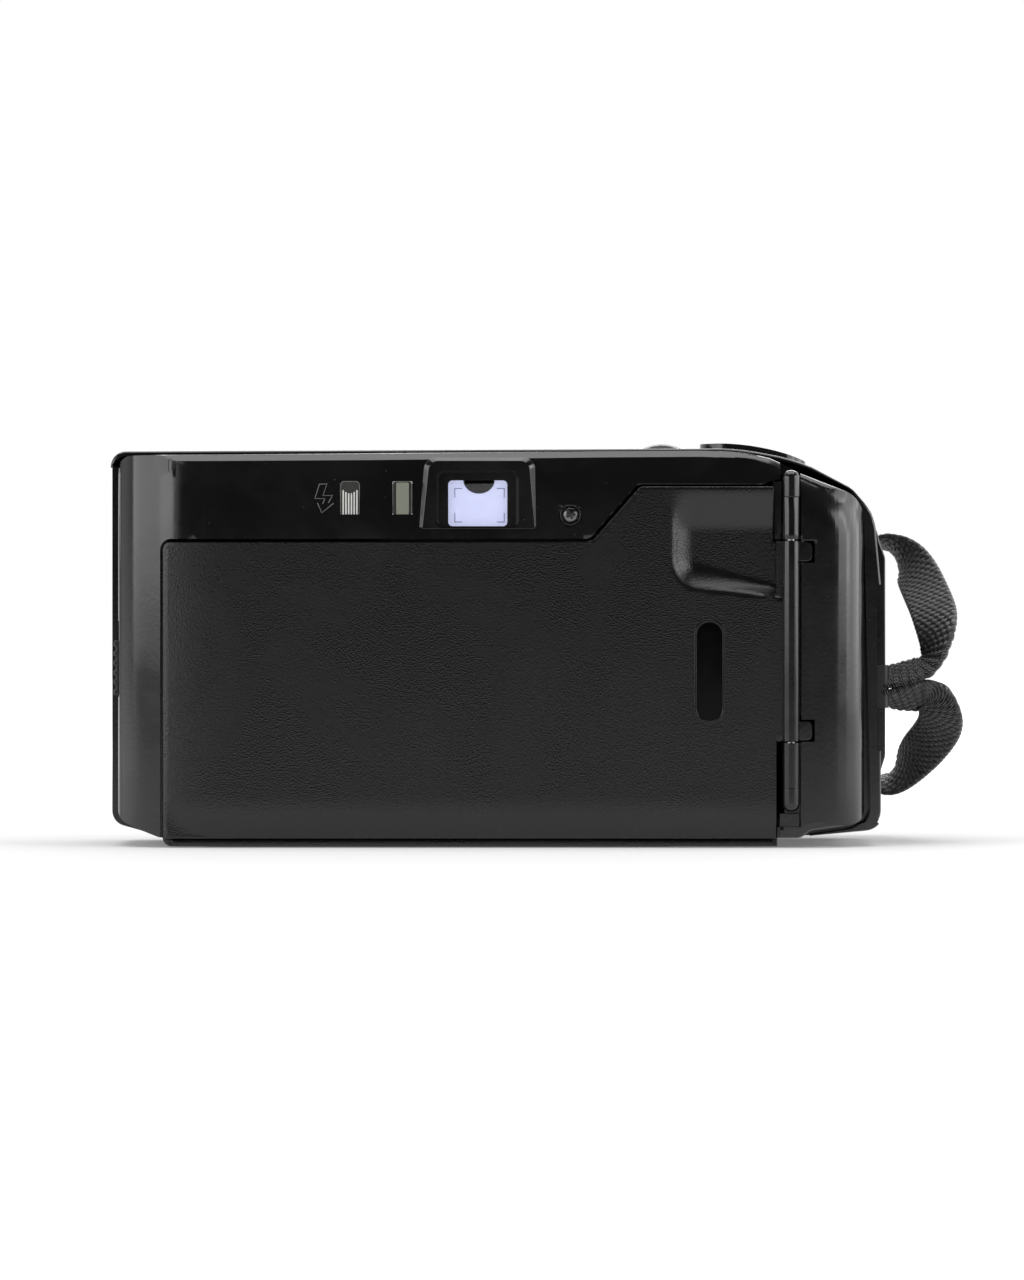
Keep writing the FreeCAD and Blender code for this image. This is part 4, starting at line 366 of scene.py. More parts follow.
@dataclass(frozen=True)
class Plastic:
    """A moulded plastic or painted finish."""

    name: str
    colour: Colour
    rough: tuple[float, float] = (0.12, 0.2)
    grain: float = 0.0
    grain_scale: float = 3000.0
    smear_scale: float = 60.0
    dust: float = 0.0
    dust_colour: Colour = (0.25, 0.25, 0.25)
    specular: float = 0.5
    coat: float = 0.0
    coat_rough: float = 0.05
    glow: float = 0.0
    smear_tone: float = 0.82
    grain_deep: float = 0.1

    def make(self, effects: Effects) -> bpy.types.Material:
        """Builds the material.

        Args:
            effects: the shared groups.

        Returns:
            The material.
        """
        fixed = {"Specular IOR Level": self.specular}
        if self.coat:
            fixed |= {"Coat Weight": self.coat, "Coat Roughness": self.coat_rough}
        if self.glow:
            fixed |= {"Emission Color": self.colour, "Emission Strength": self.glow}
        material, sheet, shader = start_material(self.name, fixed)
        smear = add_handling(sheet, shader, effects, self.smear_scale, self.rough)
        base = sheet.mix(smear, shaded(self.colour, self.smear_tone), self.colour)
        if self.dust:
            specks = sheet.add("ShaderNodeGroup", {"Amount": self.dust}, node_tree=effects.dust)
            base = sheet.mix(specks.outputs["Mask"], base, self.dust_colour)
        sheet.put(shader.inputs["Base Color"], base)
        if self.grain:
            pebbled = sheet.add("ShaderNodeGroup", {"Scale": self.grain_scale}, node_tree=effects.grain)
            add_bump(sheet, shader, pebbled.outputs["Height"], self.grain, self.grain_deep)
        return material


@dataclass(frozen=True)
class Metal:
    """A bare metal finish."""

    name: str
    colour: Colour
    rough: tuple[float, float] = (0.25, 0.4)
    lines: float = 0.15
    lines_deep: float = 0.05
    smear_scale: float = 220.0
    smear_tone: float = 0.75

    def make(self, effects: Effects) -> bpy.types.Material:
        """Builds the material.

        Args:
            effects: the shared groups.

        Returns:
            The material.
        """
        material, sheet, shader = start_material(self.name, {"Metallic": 1.0})
        smear = add_handling(sheet, shader, effects, self.smear_scale, self.rough)
        base = sheet.mix(smear, self.colour, shaded(self.colour, self.smear_tone))
        sheet.put(shader.inputs["Base Color"], base)
        drawn = sheet.add("ShaderNodeGroup", node_tree=effects.brushed)
        add_bump(sheet, shader, drawn.outputs["Height"], self.lines, self.lines_deep)
        return material


@dataclass(frozen=True)
class Clear:
    """A transparent finish for lenses and windows."""

    name: str
    tint: Colour
    rough: float = 0.0
    index: float = 1.49
    haze: float = 0.02
    smear_scale: float = 150.0

    def make(self, effects: Effects) -> bpy.types.Material:
        """Builds the material.

        Args:
            effects: the shared groups.

        Returns:
            The material.
        """
        material, sheet, shader = start_material(
            self.name, {"Transmission Weight": 1.0, "IOR": self.index, "Base Color": self.tint})
        add_handling(sheet, shader, effects, self.smear_scale, (self.rough, self.rough + self.haze))
        return material


@dataclass(frozen=True)
class Webbing:
    """Woven nylon: yarn lines across each rib, by the strap's own UV map in millimetres."""

    name: str
    colour: Colour
    rough: tuple[float, float] = (0.36, 0.52)
    smear_scale: float = 300.0
    sheen: float = 0.03
    yarn: float = 2.6
    yarn_slant: float = 0.45
    yarn_deep: float = 0.07
    hollow_shade: float = 0.5

    def make(self, effects: Effects) -> bpy.types.Material:
        """Builds the material.

        Args:
            effects: the shared groups, whose smears vary the roughness.

        Returns:
            The material.
        """
        material, sheet, shader = start_material(
            self.name, {"Sheen Weight": self.sheen, "Sheen Roughness": 0.4, "Specular IOR Level": 0.5})
        place = sheet.add("ShaderNodeUVMap", uv_map="webbing").outputs["UV"]
        split = sheet.add("ShaderNodeSeparateXYZ", {"Vector": place})
        slant = sheet.math("MULTIPLY_ADD", split.outputs["X"], self.yarn_slant, split.outputs["Y"])
        wave = sheet.math("SINE", sheet.math("MULTIPLY", slant, self.yarn * 2 * math.pi))
        fuzz = sheet.add("ShaderNodeTexNoise", {"Vector": place, "Scale": 5.0, "Detail": 4.0})
        height = sheet.math("MULTIPLY_ADD", fuzz.outputs[0], 0.8, wave)
        add_bump(sheet, shader, height, 0.7, self.yarn_deep)
        add_handling(sheet, shader, effects, self.smear_scale, self.rough)
        # Painted shade: the hollows of the weave are darker than the raised yarn.
        raised = sheet.ramp(height, -0.6, 1.4)
        base = sheet.mix(raised, shaded(self.colour, self.hollow_shade), self.colour)
        sheet.put(shader.inputs["Base Color"], base)
        return material


class Look(Enum):
    """Every finish on the camera."""

    GLOSS = Plastic("gloss_black_shell", (0.0040, 0.0040, 0.0042), (0.13, 0.21), grain=0.03,
                    grain_scale=1400, dust=0.10, dust_colour=(0.05, 0.05, 0.05))
    DOOR = Plastic("textured_black_door", (0.0032, 0.0034, 0.0037), (0.25, 0.32), grain=0.35,
                   grain_scale=3600, smear_scale=35.0, specular=0.42, dust=0.12,
                   dust_colour=(0.035, 0.035, 0.035))
    SOFT = Plastic("satin_black_moulding", (0.007, 0.007, 0.0073), (0.28, 0.4), grain=0.25,
                   grain_scale=2800)
    INSIDE = Plastic("matt_black_inside", (0.005, 0.005, 0.005), (0.6, 0.8), grain=0.3, grain_scale=2200)
    GREY = Plastic("grey_moulding", (0.30, 0.30, 0.31), (0.35, 0.5), grain=0.15)
    DIAL = Plastic("dial_black", (0.015, 0.015, 0.016), (0.3, 0.4))
    PRINT = Plastic("grey_print", (0.10, 0.10, 0.10), (0.4, 0.5))
    FAINT_MARK = Plastic("violet_grey_mark", (0.30, 0.28, 0.42), (0.5, 0.6))
    WHITE_PRINT = Plastic("white_print", (0.75, 0.75, 0.75), (0.4, 0.5))
    BOARD = Plastic("green_board", (0.02, 0.11, 0.05), (0.2, 0.35))
    FOAM = Plastic("foam_seal", (0.01, 0.01, 0.01), (0.85, 0.95), grain=0.9, grain_scale=1500)
    SLEEVE = Plastic("cell_sleeve", (0.35, 0.28, 0.05), (0.18, 0.3), coat=0.4)
    LAMP_CLEAR = Plastic("ribbed_lamp_plastic", (0.50, 0.50, 0.48), (0.12, 0.2))
    # Painted shade: near-black lens plastic that shows between and above the lamp ribs and round the green
    # core.
    LAMP_DARK = Plastic("lamp_painted_shade", (0.035, 0.035, 0.034), (0.12, 0.2))
    LAMP_EDGE = Plastic("lamp_frame_edge", (0.10, 0.10, 0.095), (0.15, 0.25))
    # Painted light: a pale plate that glows behind the eyepiece and stands for the lit view through the
    # finder.
    FIELD = Plastic("finder_view_painted_glow", (0.53, 0.56, 0.76), (0.6, 0.7), specular=0.1, glow=0.68)
    VISOR = Plastic("finder_visor_grey", (0.07, 0.07, 0.08), (0.4, 0.5))
    LAMP_GREEN = Plastic("grey_green_lamp_plastic", (0.20, 0.21, 0.17), (0.15, 0.25))
    PANE = Plastic("dark_window", (0.002, 0.002, 0.0022), (0.05, 0.09), specular=0.25)
    DARK_STEEL = Metal("blackened_screw_steel", (0.16, 0.16, 0.16), (0.22, 0.35))
    STEEL = Metal("screw_steel", (0.42, 0.42, 0.41))
    SPRING = Metal("spring_steel", (0.5, 0.5, 0.5), (0.2, 0.35))
    ALLOY = Metal("grey_alloy", (0.36, 0.36, 0.37), (0.35, 0.5), 0.3)
    BRASS = Metal("contact_brass", (0.72, 0.53, 0.25))
    MIRROR = Metal("flash_reflector_bright", (0.85, 0.85, 0.86), (0.08, 0.15), 0.05)
    EYEPIECE = Clear("eyepiece_glass", (0.97, 0.97, 0.99))
    OPTIC = Clear("clear_optic", (0.96, 0.97, 0.98))
    COATED = Clear("coated_lens", (0.80, 0.84, 0.95), index=1.6)
    TUBE = Clear("flash_tube_glass", (0.95, 0.95, 0.9), index=1.5)
    DIFFUSER = Clear("flash_diffuser", (0.93, 0.94, 0.93), rough=0.22)
    DOME = Clear("counter_dome", (0.22, 0.225, 0.235))
    RED_LAMP = Clear("red_lamp", (0.55, 0.03, 0.03), rough=0.15)
    WEBBING = Webbing("black_webbing", (0.011, 0.011, 0.011))


NODE_LOOKS: dict[Look, Sequence[str]] = {
    Look.GLOSS: ("rear_cover", "front_cover", "hinge_caps", "strap_bar", "shutter_button"),
    Look.DOOR: ("door_panel",),
    Look.SOFT: ("base_plate", "lens_bezel", "lens_cell", "eyepiece_frame", "door_latch", "battery_door",
                "self_timer_button", "pressure_plate"),
    Look.INSIDE: ("chassis", "finder_tube", "finder_mask", "shutter_unit", "takeup_spool", "sprocket",
                  "rewind_fork", "release_switch"),
    Look.GREY: ("idler_gear", "rewind_button"),
    Look.DIAL: ("counter_dial",),
    Look.BOARD: ("circuit_board",),
    Look.FOAM: ("light_seal",),
    Look.SLEEVE: ("battery_cells",),
    Look.LAMP_CLEAR: ("flash_ready_lens",),
    Look.LAMP_GREEN: ("focus_lamp_lens",),
    Look.PANE: ("cassette_window",),
    Look.DARK_STEEL: ("rear_screw",),
    Look.STEEL: ("base_screws", "hinge_pin", "drive_motor", "battery_bridge", "battery_contact"),
    Look.SPRING: ("button_spring", "latch_spring", "plate_spring", "cassette_spring"),
    Look.ALLOY: ("tripod_socket", "aperture_plate", "flash_capacitor"),
    Look.BRASS: ("dx_contacts", "motor_pinion"),
    Look.MIRROR: ("flash_reflector",),
    Look.EYEPIECE: ("eyepiece_lens",),
    Look.OPTIC: ("finder_objective", "front_window"),
    Look.COATED: ("front_element", "rear_element"),
    Look.TUBE: ("flash_tube",),
    Look.DIFFUSER: ("flash_window",),
    Look.DOME: ("counter_window",),
    Look.RED_LAMP: ("self_timer_lamp",),
    Look.WEBBING: ("strap", "strap_hitch"),
}


class Paint:
    """Keeps the finished materials and puts them on pieces."""

    def __init__(self) -> None:
        """Builds every material once."""
        effects = Effects()
        self.materials = {look: look.value.make(effects) for look in Look}

    def cover(self, piece: bpy.types.Object, look: Look) -> None:
        """Gives a piece its finish.

        Args:
            piece: the object.
            look: the finish.
        """
        piece.data.materials.clear()
        piece.data.materials.append(self.materials[look])

    def dress_nodes(self) -> None:
        """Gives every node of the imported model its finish."""
        for look, nodes in NODE_LOOKS.items():
            for node in nodes:
                self.cover(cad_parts[node], look)


class Bench:
    """Modelling steps that the sub-assemblies share, done with Blender's own operators."""

    def __init__(self, paint: Paint) -> None:
        """Keeps the materials.

        Args:
            paint: the finished materials.
        """
        self.paint = paint

    @staticmethod
    def pick(*things: bpy.types.Object) -> None:
        """Selects only these objects, the first one active.

        Args:
            things: the objects.
        """
        bpy.ops.object.select_all(action="DESELECT")
        for thing in things:
            thing.select_set(True)
        bpy.context.view_layer.objects.active = things[0]

    @contextmanager
    def shaping(self, thing: bpy.types.Object, everything: bool = True) -> Iterator[None]:
        """Opens edit mode on a piece.

        Args:
            thing: the piece.
            everything: whether all of it starts selected.

        Yields:
            Control, with the piece in edit mode.
        """
        self.pick(thing)
        bpy.ops.object.mode_set(mode="EDIT")
        bpy.ops.mesh.select_mode(type="FACE")
        bpy.ops.mesh.select_all(action="SELECT" if everything else "DESELECT")
        yield
        bpy.ops.object.mode_set(mode="OBJECT")

    @staticmethod
    def choose_faces(thing: bpy.types.Object, test: Callable[[Vector, Vector], bool]) -> None:
        """Selects faces in edit mode by their middle and normal.

        Args:
            thing: the piece in edit mode.
            test: takes a face's middle in millimetres and its normal.
        """
        mesh = bmesh.from_edit_mesh(thing.data)
        for face in mesh.faces:
            face.select_set(test(face.calc_center_median() / MM, face.normal))
        mesh.select_flush_mode()
        bmesh.update_edit_mesh(thing.data)

    @staticmethod
    def choose_edges(thing: bpy.types.Object, test: Callable[[Vector, Vector], bool]) -> None:
        """Selects edges in edit mode by their two ends.

        Args:
            thing: the piece in edit mode.
            test: takes the ends in millimetres.
        """
        bpy.ops.mesh.select_mode(type="EDGE")
        mesh = bmesh.from_edit_mesh(thing.data)
        for edge in mesh.edges:
            edge.select_set(test(edge.verts[0].co / MM, edge.verts[1].co / MM))
        bmesh.update_edit_mesh(thing.data)

    def modify(self, thing: bpy.types.Object, kind: str, **settings: Any) -> bpy.types.Object:
        """Adds a modifier and applies it.

        Args:
            thing: the piece.
            kind: the modifier's type.
            settings: its settings.

        Returns:
            The piece.
        """
        self.pick(thing)
        modifier = thing.modifiers.new(kind.title(), kind)
        for name, value in settings.items():
            setattr(modifier, name, value)
        bpy.ops.object.modifier_apply(modifier=modifier.name)
        return thing

    def bevel(self, thing: bpy.types.Object, width: float, steps: int = 2, angle: float = 32.0,
              ) -> bpy.types.Object:
        """Rounds the sharp edges of a piece.

        Args:
            thing: the piece.
            width: the bevel's width.
            steps: its segments.
            angle: the least angle that is rounded, in degrees.

        Returns:
            The piece.
        """
        return self.modify(thing, "BEVEL", width=width * MM, segments=steps, limit_method="ANGLE",
                           angle_limit=math.radians(angle), use_clamp_overlap=True)

    def cut(self, thing: bpy.types.Object, tool: bpy.types.Object) -> bpy.types.Object:
        """Takes a tool's shape out of a piece and throws the tool away.

        Args:
            thing: the piece.
            tool: the cutting shape.

        Returns:
            The piece.
        """
        self.modify(thing, "BOOLEAN", operation="DIFFERENCE", object=tool, solver="EXACT")
        bpy.data.objects.remove(tool)
        return thing

    def place(self, name: str) -> bpy.types.Object:
        """Names the new primitive and moves its place into its mesh.

        Args:
            name: the piece's name.

        Returns:
            The piece.
        """
        thing = bpy.context.view_layer.objects.active
        thing.name = name
        thing.data.name = name
        self.pick(thing)
        bpy.ops.object.transform_apply(location=True, rotation=True, scale=True)
        return thing

    def box(self, name: str, low: Sequence[float], high: Sequence[float]) -> bpy.types.Object:
        """Adds a block.

        Args:
            name: the piece's name.
            low: its lowest corner.
            high: its highest corner.

        Returns:
            The piece.
        """
        bpy.ops.object.select_all(action="DESELECT")
        middle = [(a + b) / 2 * MM for a, b in zip(low, high)]
        bpy.ops.mesh.primitive_cube_add(size=1, location=middle)
        bpy.context.object.scale = [(b - a) * MM for a, b in zip(low, high)]
        return self.place(name)

    def rod(self, name: str, at: Sequence[float], axis: Axis, radius: float, length: float,
            sides: int = 48) -> bpy.types.Object:
        """Adds a round bar that starts at a point.

        Args:
            name: the piece's name.
            at: the middle of its first end.
            axis: its direction.
            radius: its radius.
            length: its length.
            sides: its sides.

        Returns:
            The piece.
        """
        return self.turned(name, at, axis, [(0, 0), (radius, 0), (radius, length), (0, length)], sides)

    def turned(self, name: str, at: Sequence[float], axis: Axis, profile: Outline,
               sides: int = 64) -> bpy.types.Object:
        """Spins a profile round an axis.

        Args:
            name: the piece's name.
            at: where the axis starts.
            axis: its direction.
            profile: points of radius and height.
            sides: steps of the spin.

        Returns:
            The piece.
        """
        mesh = bpy.data.meshes.new(name)
        points = [(radius * MM, 0.0, height * MM) for radius, height in profile]
        mesh.from_pydata(points, [(i, i + 1) for i in range(len(points) - 1)], [])
        thing = add_object(name, mesh)
        self.pick(thing)
        bpy.ops.object.mode_set(mode="EDIT")
        bpy.ops.mesh.select_mode(type="VERT")
        bpy.ops.mesh.select_all(action="SELECT")
        bpy.ops.mesh.spin(steps=sides, angle=2 * math.pi, center=(0, 0, 0), axis=(0, 0, 1))
        bpy.ops.mesh.select_all(action="SELECT")
        bpy.ops.mesh.remove_doubles(threshold=2e-6)
        bpy.ops.mesh.normals_make_consistent(inside=False)
        bpy.ops.object.mode_set(mode="OBJECT")
        thing.rotation_euler = axis.value
        thing.location = Vector(at) * MM
        return self.place(name)

    def plate(self, name: str, outline: Outline, back: float, front: float) -> bpy.types.Object:
        """Makes a flat plate from an outline seen from behind the camera.

        Args:
            name: the piece's name.
            outline: points of x and z, anticlockwise as the photographer sees them.
            back: y of the face towards the photographer.
            front: y of the other face.

        Returns:
            The piece.
        """
        return self.loft(name, [(outline, back), (outline, front)])

    def loft(self, name: str, sections: Sequence[tuple[Outline, float]]) -> bpy.types.Object:
        """Joins outlines of equal length at several depths into a closed block.

        Args:
            name: the piece's name.
            sections: outlines of x and z, each with its y, from the rear to the front.

        Returns:
            The piece.
        """
        count, last = len(sections[0][0]), len(sections) - 1
        points = [(x * MM, y * MM, z * MM) for outline, y in sections for x, z in outline]
        faces = [tuple(range(count)), tuple(range((last + 1) * count - 1, last * count - 1, -1))]
        for level in range(last):
            low, high = level * count, (level + 1) * count
            faces += [(low + i, high + i, high + (i + 1) % count, low + (i + 1) % count)
                      for i in range(count)]
        mesh = bpy.data.meshes.new(name)
        mesh.from_pydata(points, [], faces)
        thing = add_object(name, mesh)
        with self.shaping(thing):
            bpy.ops.mesh.normals_make_consistent(inside=False)
        return thing

    def slice(self, thing: bpy.types.Object, axis: Vector, places: Sequence[float],
              test: Callable[[Vector, Vector], bool]) -> None:
        """Cuts chosen faces of a piece along planes, so that they can be bent.

        Args:
            thing: the piece.
            axis: the planes' normal.
            places: where the planes stand along it.
            test: takes a face's middle in millimetres and its normal.
        """
        with self.shaping(thing, everything=False):
            for place in places:
                self.choose_faces(thing, test)
                bpy.ops.mesh.bisect(plane_co=axis * place * MM, plane_no=axis)

    @staticmethod
    def bend(thing: bpy.types.Object, shift: Callable[[Vector], Sequence[float]]) -> None:
        """Moves every vertex by a smooth rule.

        Args:
            thing: the piece.
            shift: takes a place in millimetres and gives its movement.
        """
        for vertex in thing.data.vertices:
            vertex.co += Vector(shift(vertex.co / MM)) * MM
        thing.data.update()

    def copy_of(self, node: str, name: str) -> bpy.types.Object:
        """Copies a node's mesh, with its loose triangles merged into whole faces.

        Args:
            node: the node.
            name: the new piece's name.

        Returns:
            The piece.
        """
        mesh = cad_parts[node].data.copy()
        mesh.name = name
        thing = add_object(name, mesh)
        with self.shaping(thing):
            bpy.ops.mesh.remove_doubles(threshold=1e-6)
            bpy.ops.mesh.dissolve_limited(angle_limit=math.radians(0.6))
        return thing

    def refined(self, node: str, name: str, width: float, steps: int = 2, angle: float = 32.0,
                ) -> bpy.types.Object:
        """Copies a node and rounds its edges as a mould leaves them.

        Args:
            node: the node.
            name: the new piece's name.
            width: the bevel's width.
            steps: its segments.
            angle: the least angle that is rounded.

        Returns:
            The piece, which stands for the node.
        """
        thing = self.bevel(self.copy_of(node, name), width, steps, angle)
        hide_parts(node)
        return thing

    def join(self, name: str, *things: bpy.types.Object) -> bpy.types.Object:
        """Joins objects into one mesh.

        Args:
            name: the joined piece's name.
            things: the objects.

        Returns:
            The piece.
        """
        self.pick(*things)
        bpy.ops.object.join()
        things[0].name = name
        return things[0]

    def settle(self, thing: bpy.types.Object, body: str, look: Look,
               replaced: Sequence[str] = (), angle: float | None = 35.0) -> bpy.types.Object:
        """Finishes a piece: smooth shading, finish and body, and hides the nodes that it stands for.

        Args:
            thing: the piece.
            body: the body that it rides on.
            look: its finish.
            replaced: nodes that it stands for.
            angle: the largest angle that is shaded smooth, in degrees, or None for all.

        Returns:
            The piece.
        """
        self.pick(thing)
        if angle is None:
            bpy.ops.object.shade_smooth()
        else:
            bpy.ops.object.shade_smooth_by_angle(angle=math.radians(angle))
            self.modify(thing, "WEIGHTED_NORMAL", mode="FACE_AREA", keep_sharp=True)
        self.paint.cover(thing, look)
        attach(thing, body)
        if replaced:
            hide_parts(*replaced)
        LOG.info("%s rides on %s, %d faces", thing.name, body, len(thing.data.polygons))
        return thing


def rounded_outline(corners: Sequence[tuple[float, float, float]], steps: int = 7) -> list[Flat]:
    """Rounds the corners of an outline.

    Args:
        corners: points of u, v and corner radius.
        steps: segments of each round.

    Returns:
        The outline's points.
    """
    points: list[Flat] = []
    count = len(corners)
    for i, (u, v, radius) in enumerate(corners):
        at = Vector((u, v))
        if radius <= 0:
            points.append((u, v))
            continue
        before = (Vector(corners[i - 1][:2]) - at).normalized()
        after = (Vector(corners[(i + 1) % count][:2]) - at).normalized()
        half = before.angle(after) / 2
        reach = radius / math.tan(half)
        centre = at + (before + after).normalized() * (radius / math.sin(half))
        start, end = at + before * reach - centre, at + after * reach - centre
        sweep = start.angle_signed(end)
        for step in range(steps + 1):
            turn = -sweep * step / steps
            cos, sin = math.cos(turn), math.sin(turn)
            points.append((centre.x + start.x * cos - start.y * sin,
                           centre.y + start.x * sin + start.y * cos))
    return points


def oblong(low: Flat, high: Flat, radius: float) -> list[Flat]:
    """Outline of a rectangle with round corners.

    Args:
        low: its lowest corner.
        high: its highest corner.
        radius: the corners' radius.

    Returns:
        The outline's points.
    """
    return rounded_outline([(low[0], low[1], radius), (high[0], low[1], radius),
                            (high[0], high[1], radius), (low[0], high[1], radius)])


def ease(amount: float) -> float:
    """Rises smoothly from 0 to 1 as the amount goes from 0 to 1."""
    held = min(1.0, max(0.0, amount))
    return held * held * (3 - 2 * held)


def follow(x: float, *points: Flat) -> float:
    """Reads a value off straight lines between points."""
    return float(np.interp(x, [point[0] for point in points], [point[1] for point in points]))


class Shell:
    """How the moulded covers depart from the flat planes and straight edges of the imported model."""

    blend_start = -51.0
    blend_end = -64.0
    blend_rate = math.radians(45) / 11.5
    crease = -56.0
    facet_start = -54.18
    facet_run = 3.21
    facet_round = 5.0
    facet_slope = math.tan(math.radians(40))
    round_start = 53.5
    round_radius = 7.2
    crown_start = 50.0
    crown_span = 14.6
    crown_fall = 0.45

    @classmethod
    def packed_depth(cls, x: float) -> float:
        """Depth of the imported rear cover's skin behind its flat face.

        Args:
            x: place across.

        Returns:
            The depth in millimetres.
        """
        if x > cls.round_start:
            reach = min(cls.round_radius, x - cls.round_start)
            return cls.round_radius - math.sqrt(cls.round_radius ** 2 - reach ** 2)
        run = cls.facet_start - x
        if run <= 0:
            return 0.0
        if run < cls.facet_run:
            return cls.facet_round - math.sqrt(cls.facet_round ** 2 - run ** 2)
        return cls.facet_slope * (cls.crease - x)

    @classmethod
    def side_blend(cls, x: float) -> float:
        """Extra depth that turns the left crease into one long soft curve.

        Args:
            x: place across.

        Returns:
            The depth in millimetres.
        """
        if x > cls.blend_start or x < cls.blend_end:
            return 0.0
        soft = -math.log(math.cos(cls.blend_rate * (cls.blend_start - x))) / cls.blend_rate
        return soft - cls.packed_depth(x)

    @classmethod
    def crown(cls, z: float) -> float:
        """Depth of the gentle fall towards the top."""
        return cls.crown_fall * max(0.0, (z - cls.crown_start) / cls.crown_span) ** 2

    @staticmethod
    def shoulder(x: float, z: float) -> float:
        """Depth of the soft round under the sloping shoulder.

        Args:
            x: place across.
            z: place up.

        Returns:
            The depth in millimetres.
        """
        edge = follow(x, (35.1, 64.6), (40.0, 64.3), (44.5, 63.4), (48.0, 62.3), (52.8, 60.24),
                      (61.5, 55.7))
        inside = max(0.0, (edge - z) * 0.9)
        return 1.5 * max(0.0, 1 - inside / 5.0) ** 2 * ease((x - 38.0) / 12.0)

    @staticmethod
    def rear_rise(x: float) -> float:
        """How far the rear cover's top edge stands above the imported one."""
        return follow(x, (-60, 0.95), (-20, 1.2), (17, 1.62), (34, 1.72), (40, 1.5), (45.5, 1.3),
                      (50, 0.3), (58, 0.2))

    @staticmethod
    def rim_rise(x: float) -> float:
        """How far the rim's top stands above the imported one."""
        return follow(x, (-62, 0), (-25, 0.1), (0, 0.35), (22, 0.55), (35, 0.5), (44, 0.35), (50, 0.6),
                      (55, 0.7), (60.6, 0.3), (63, 0))


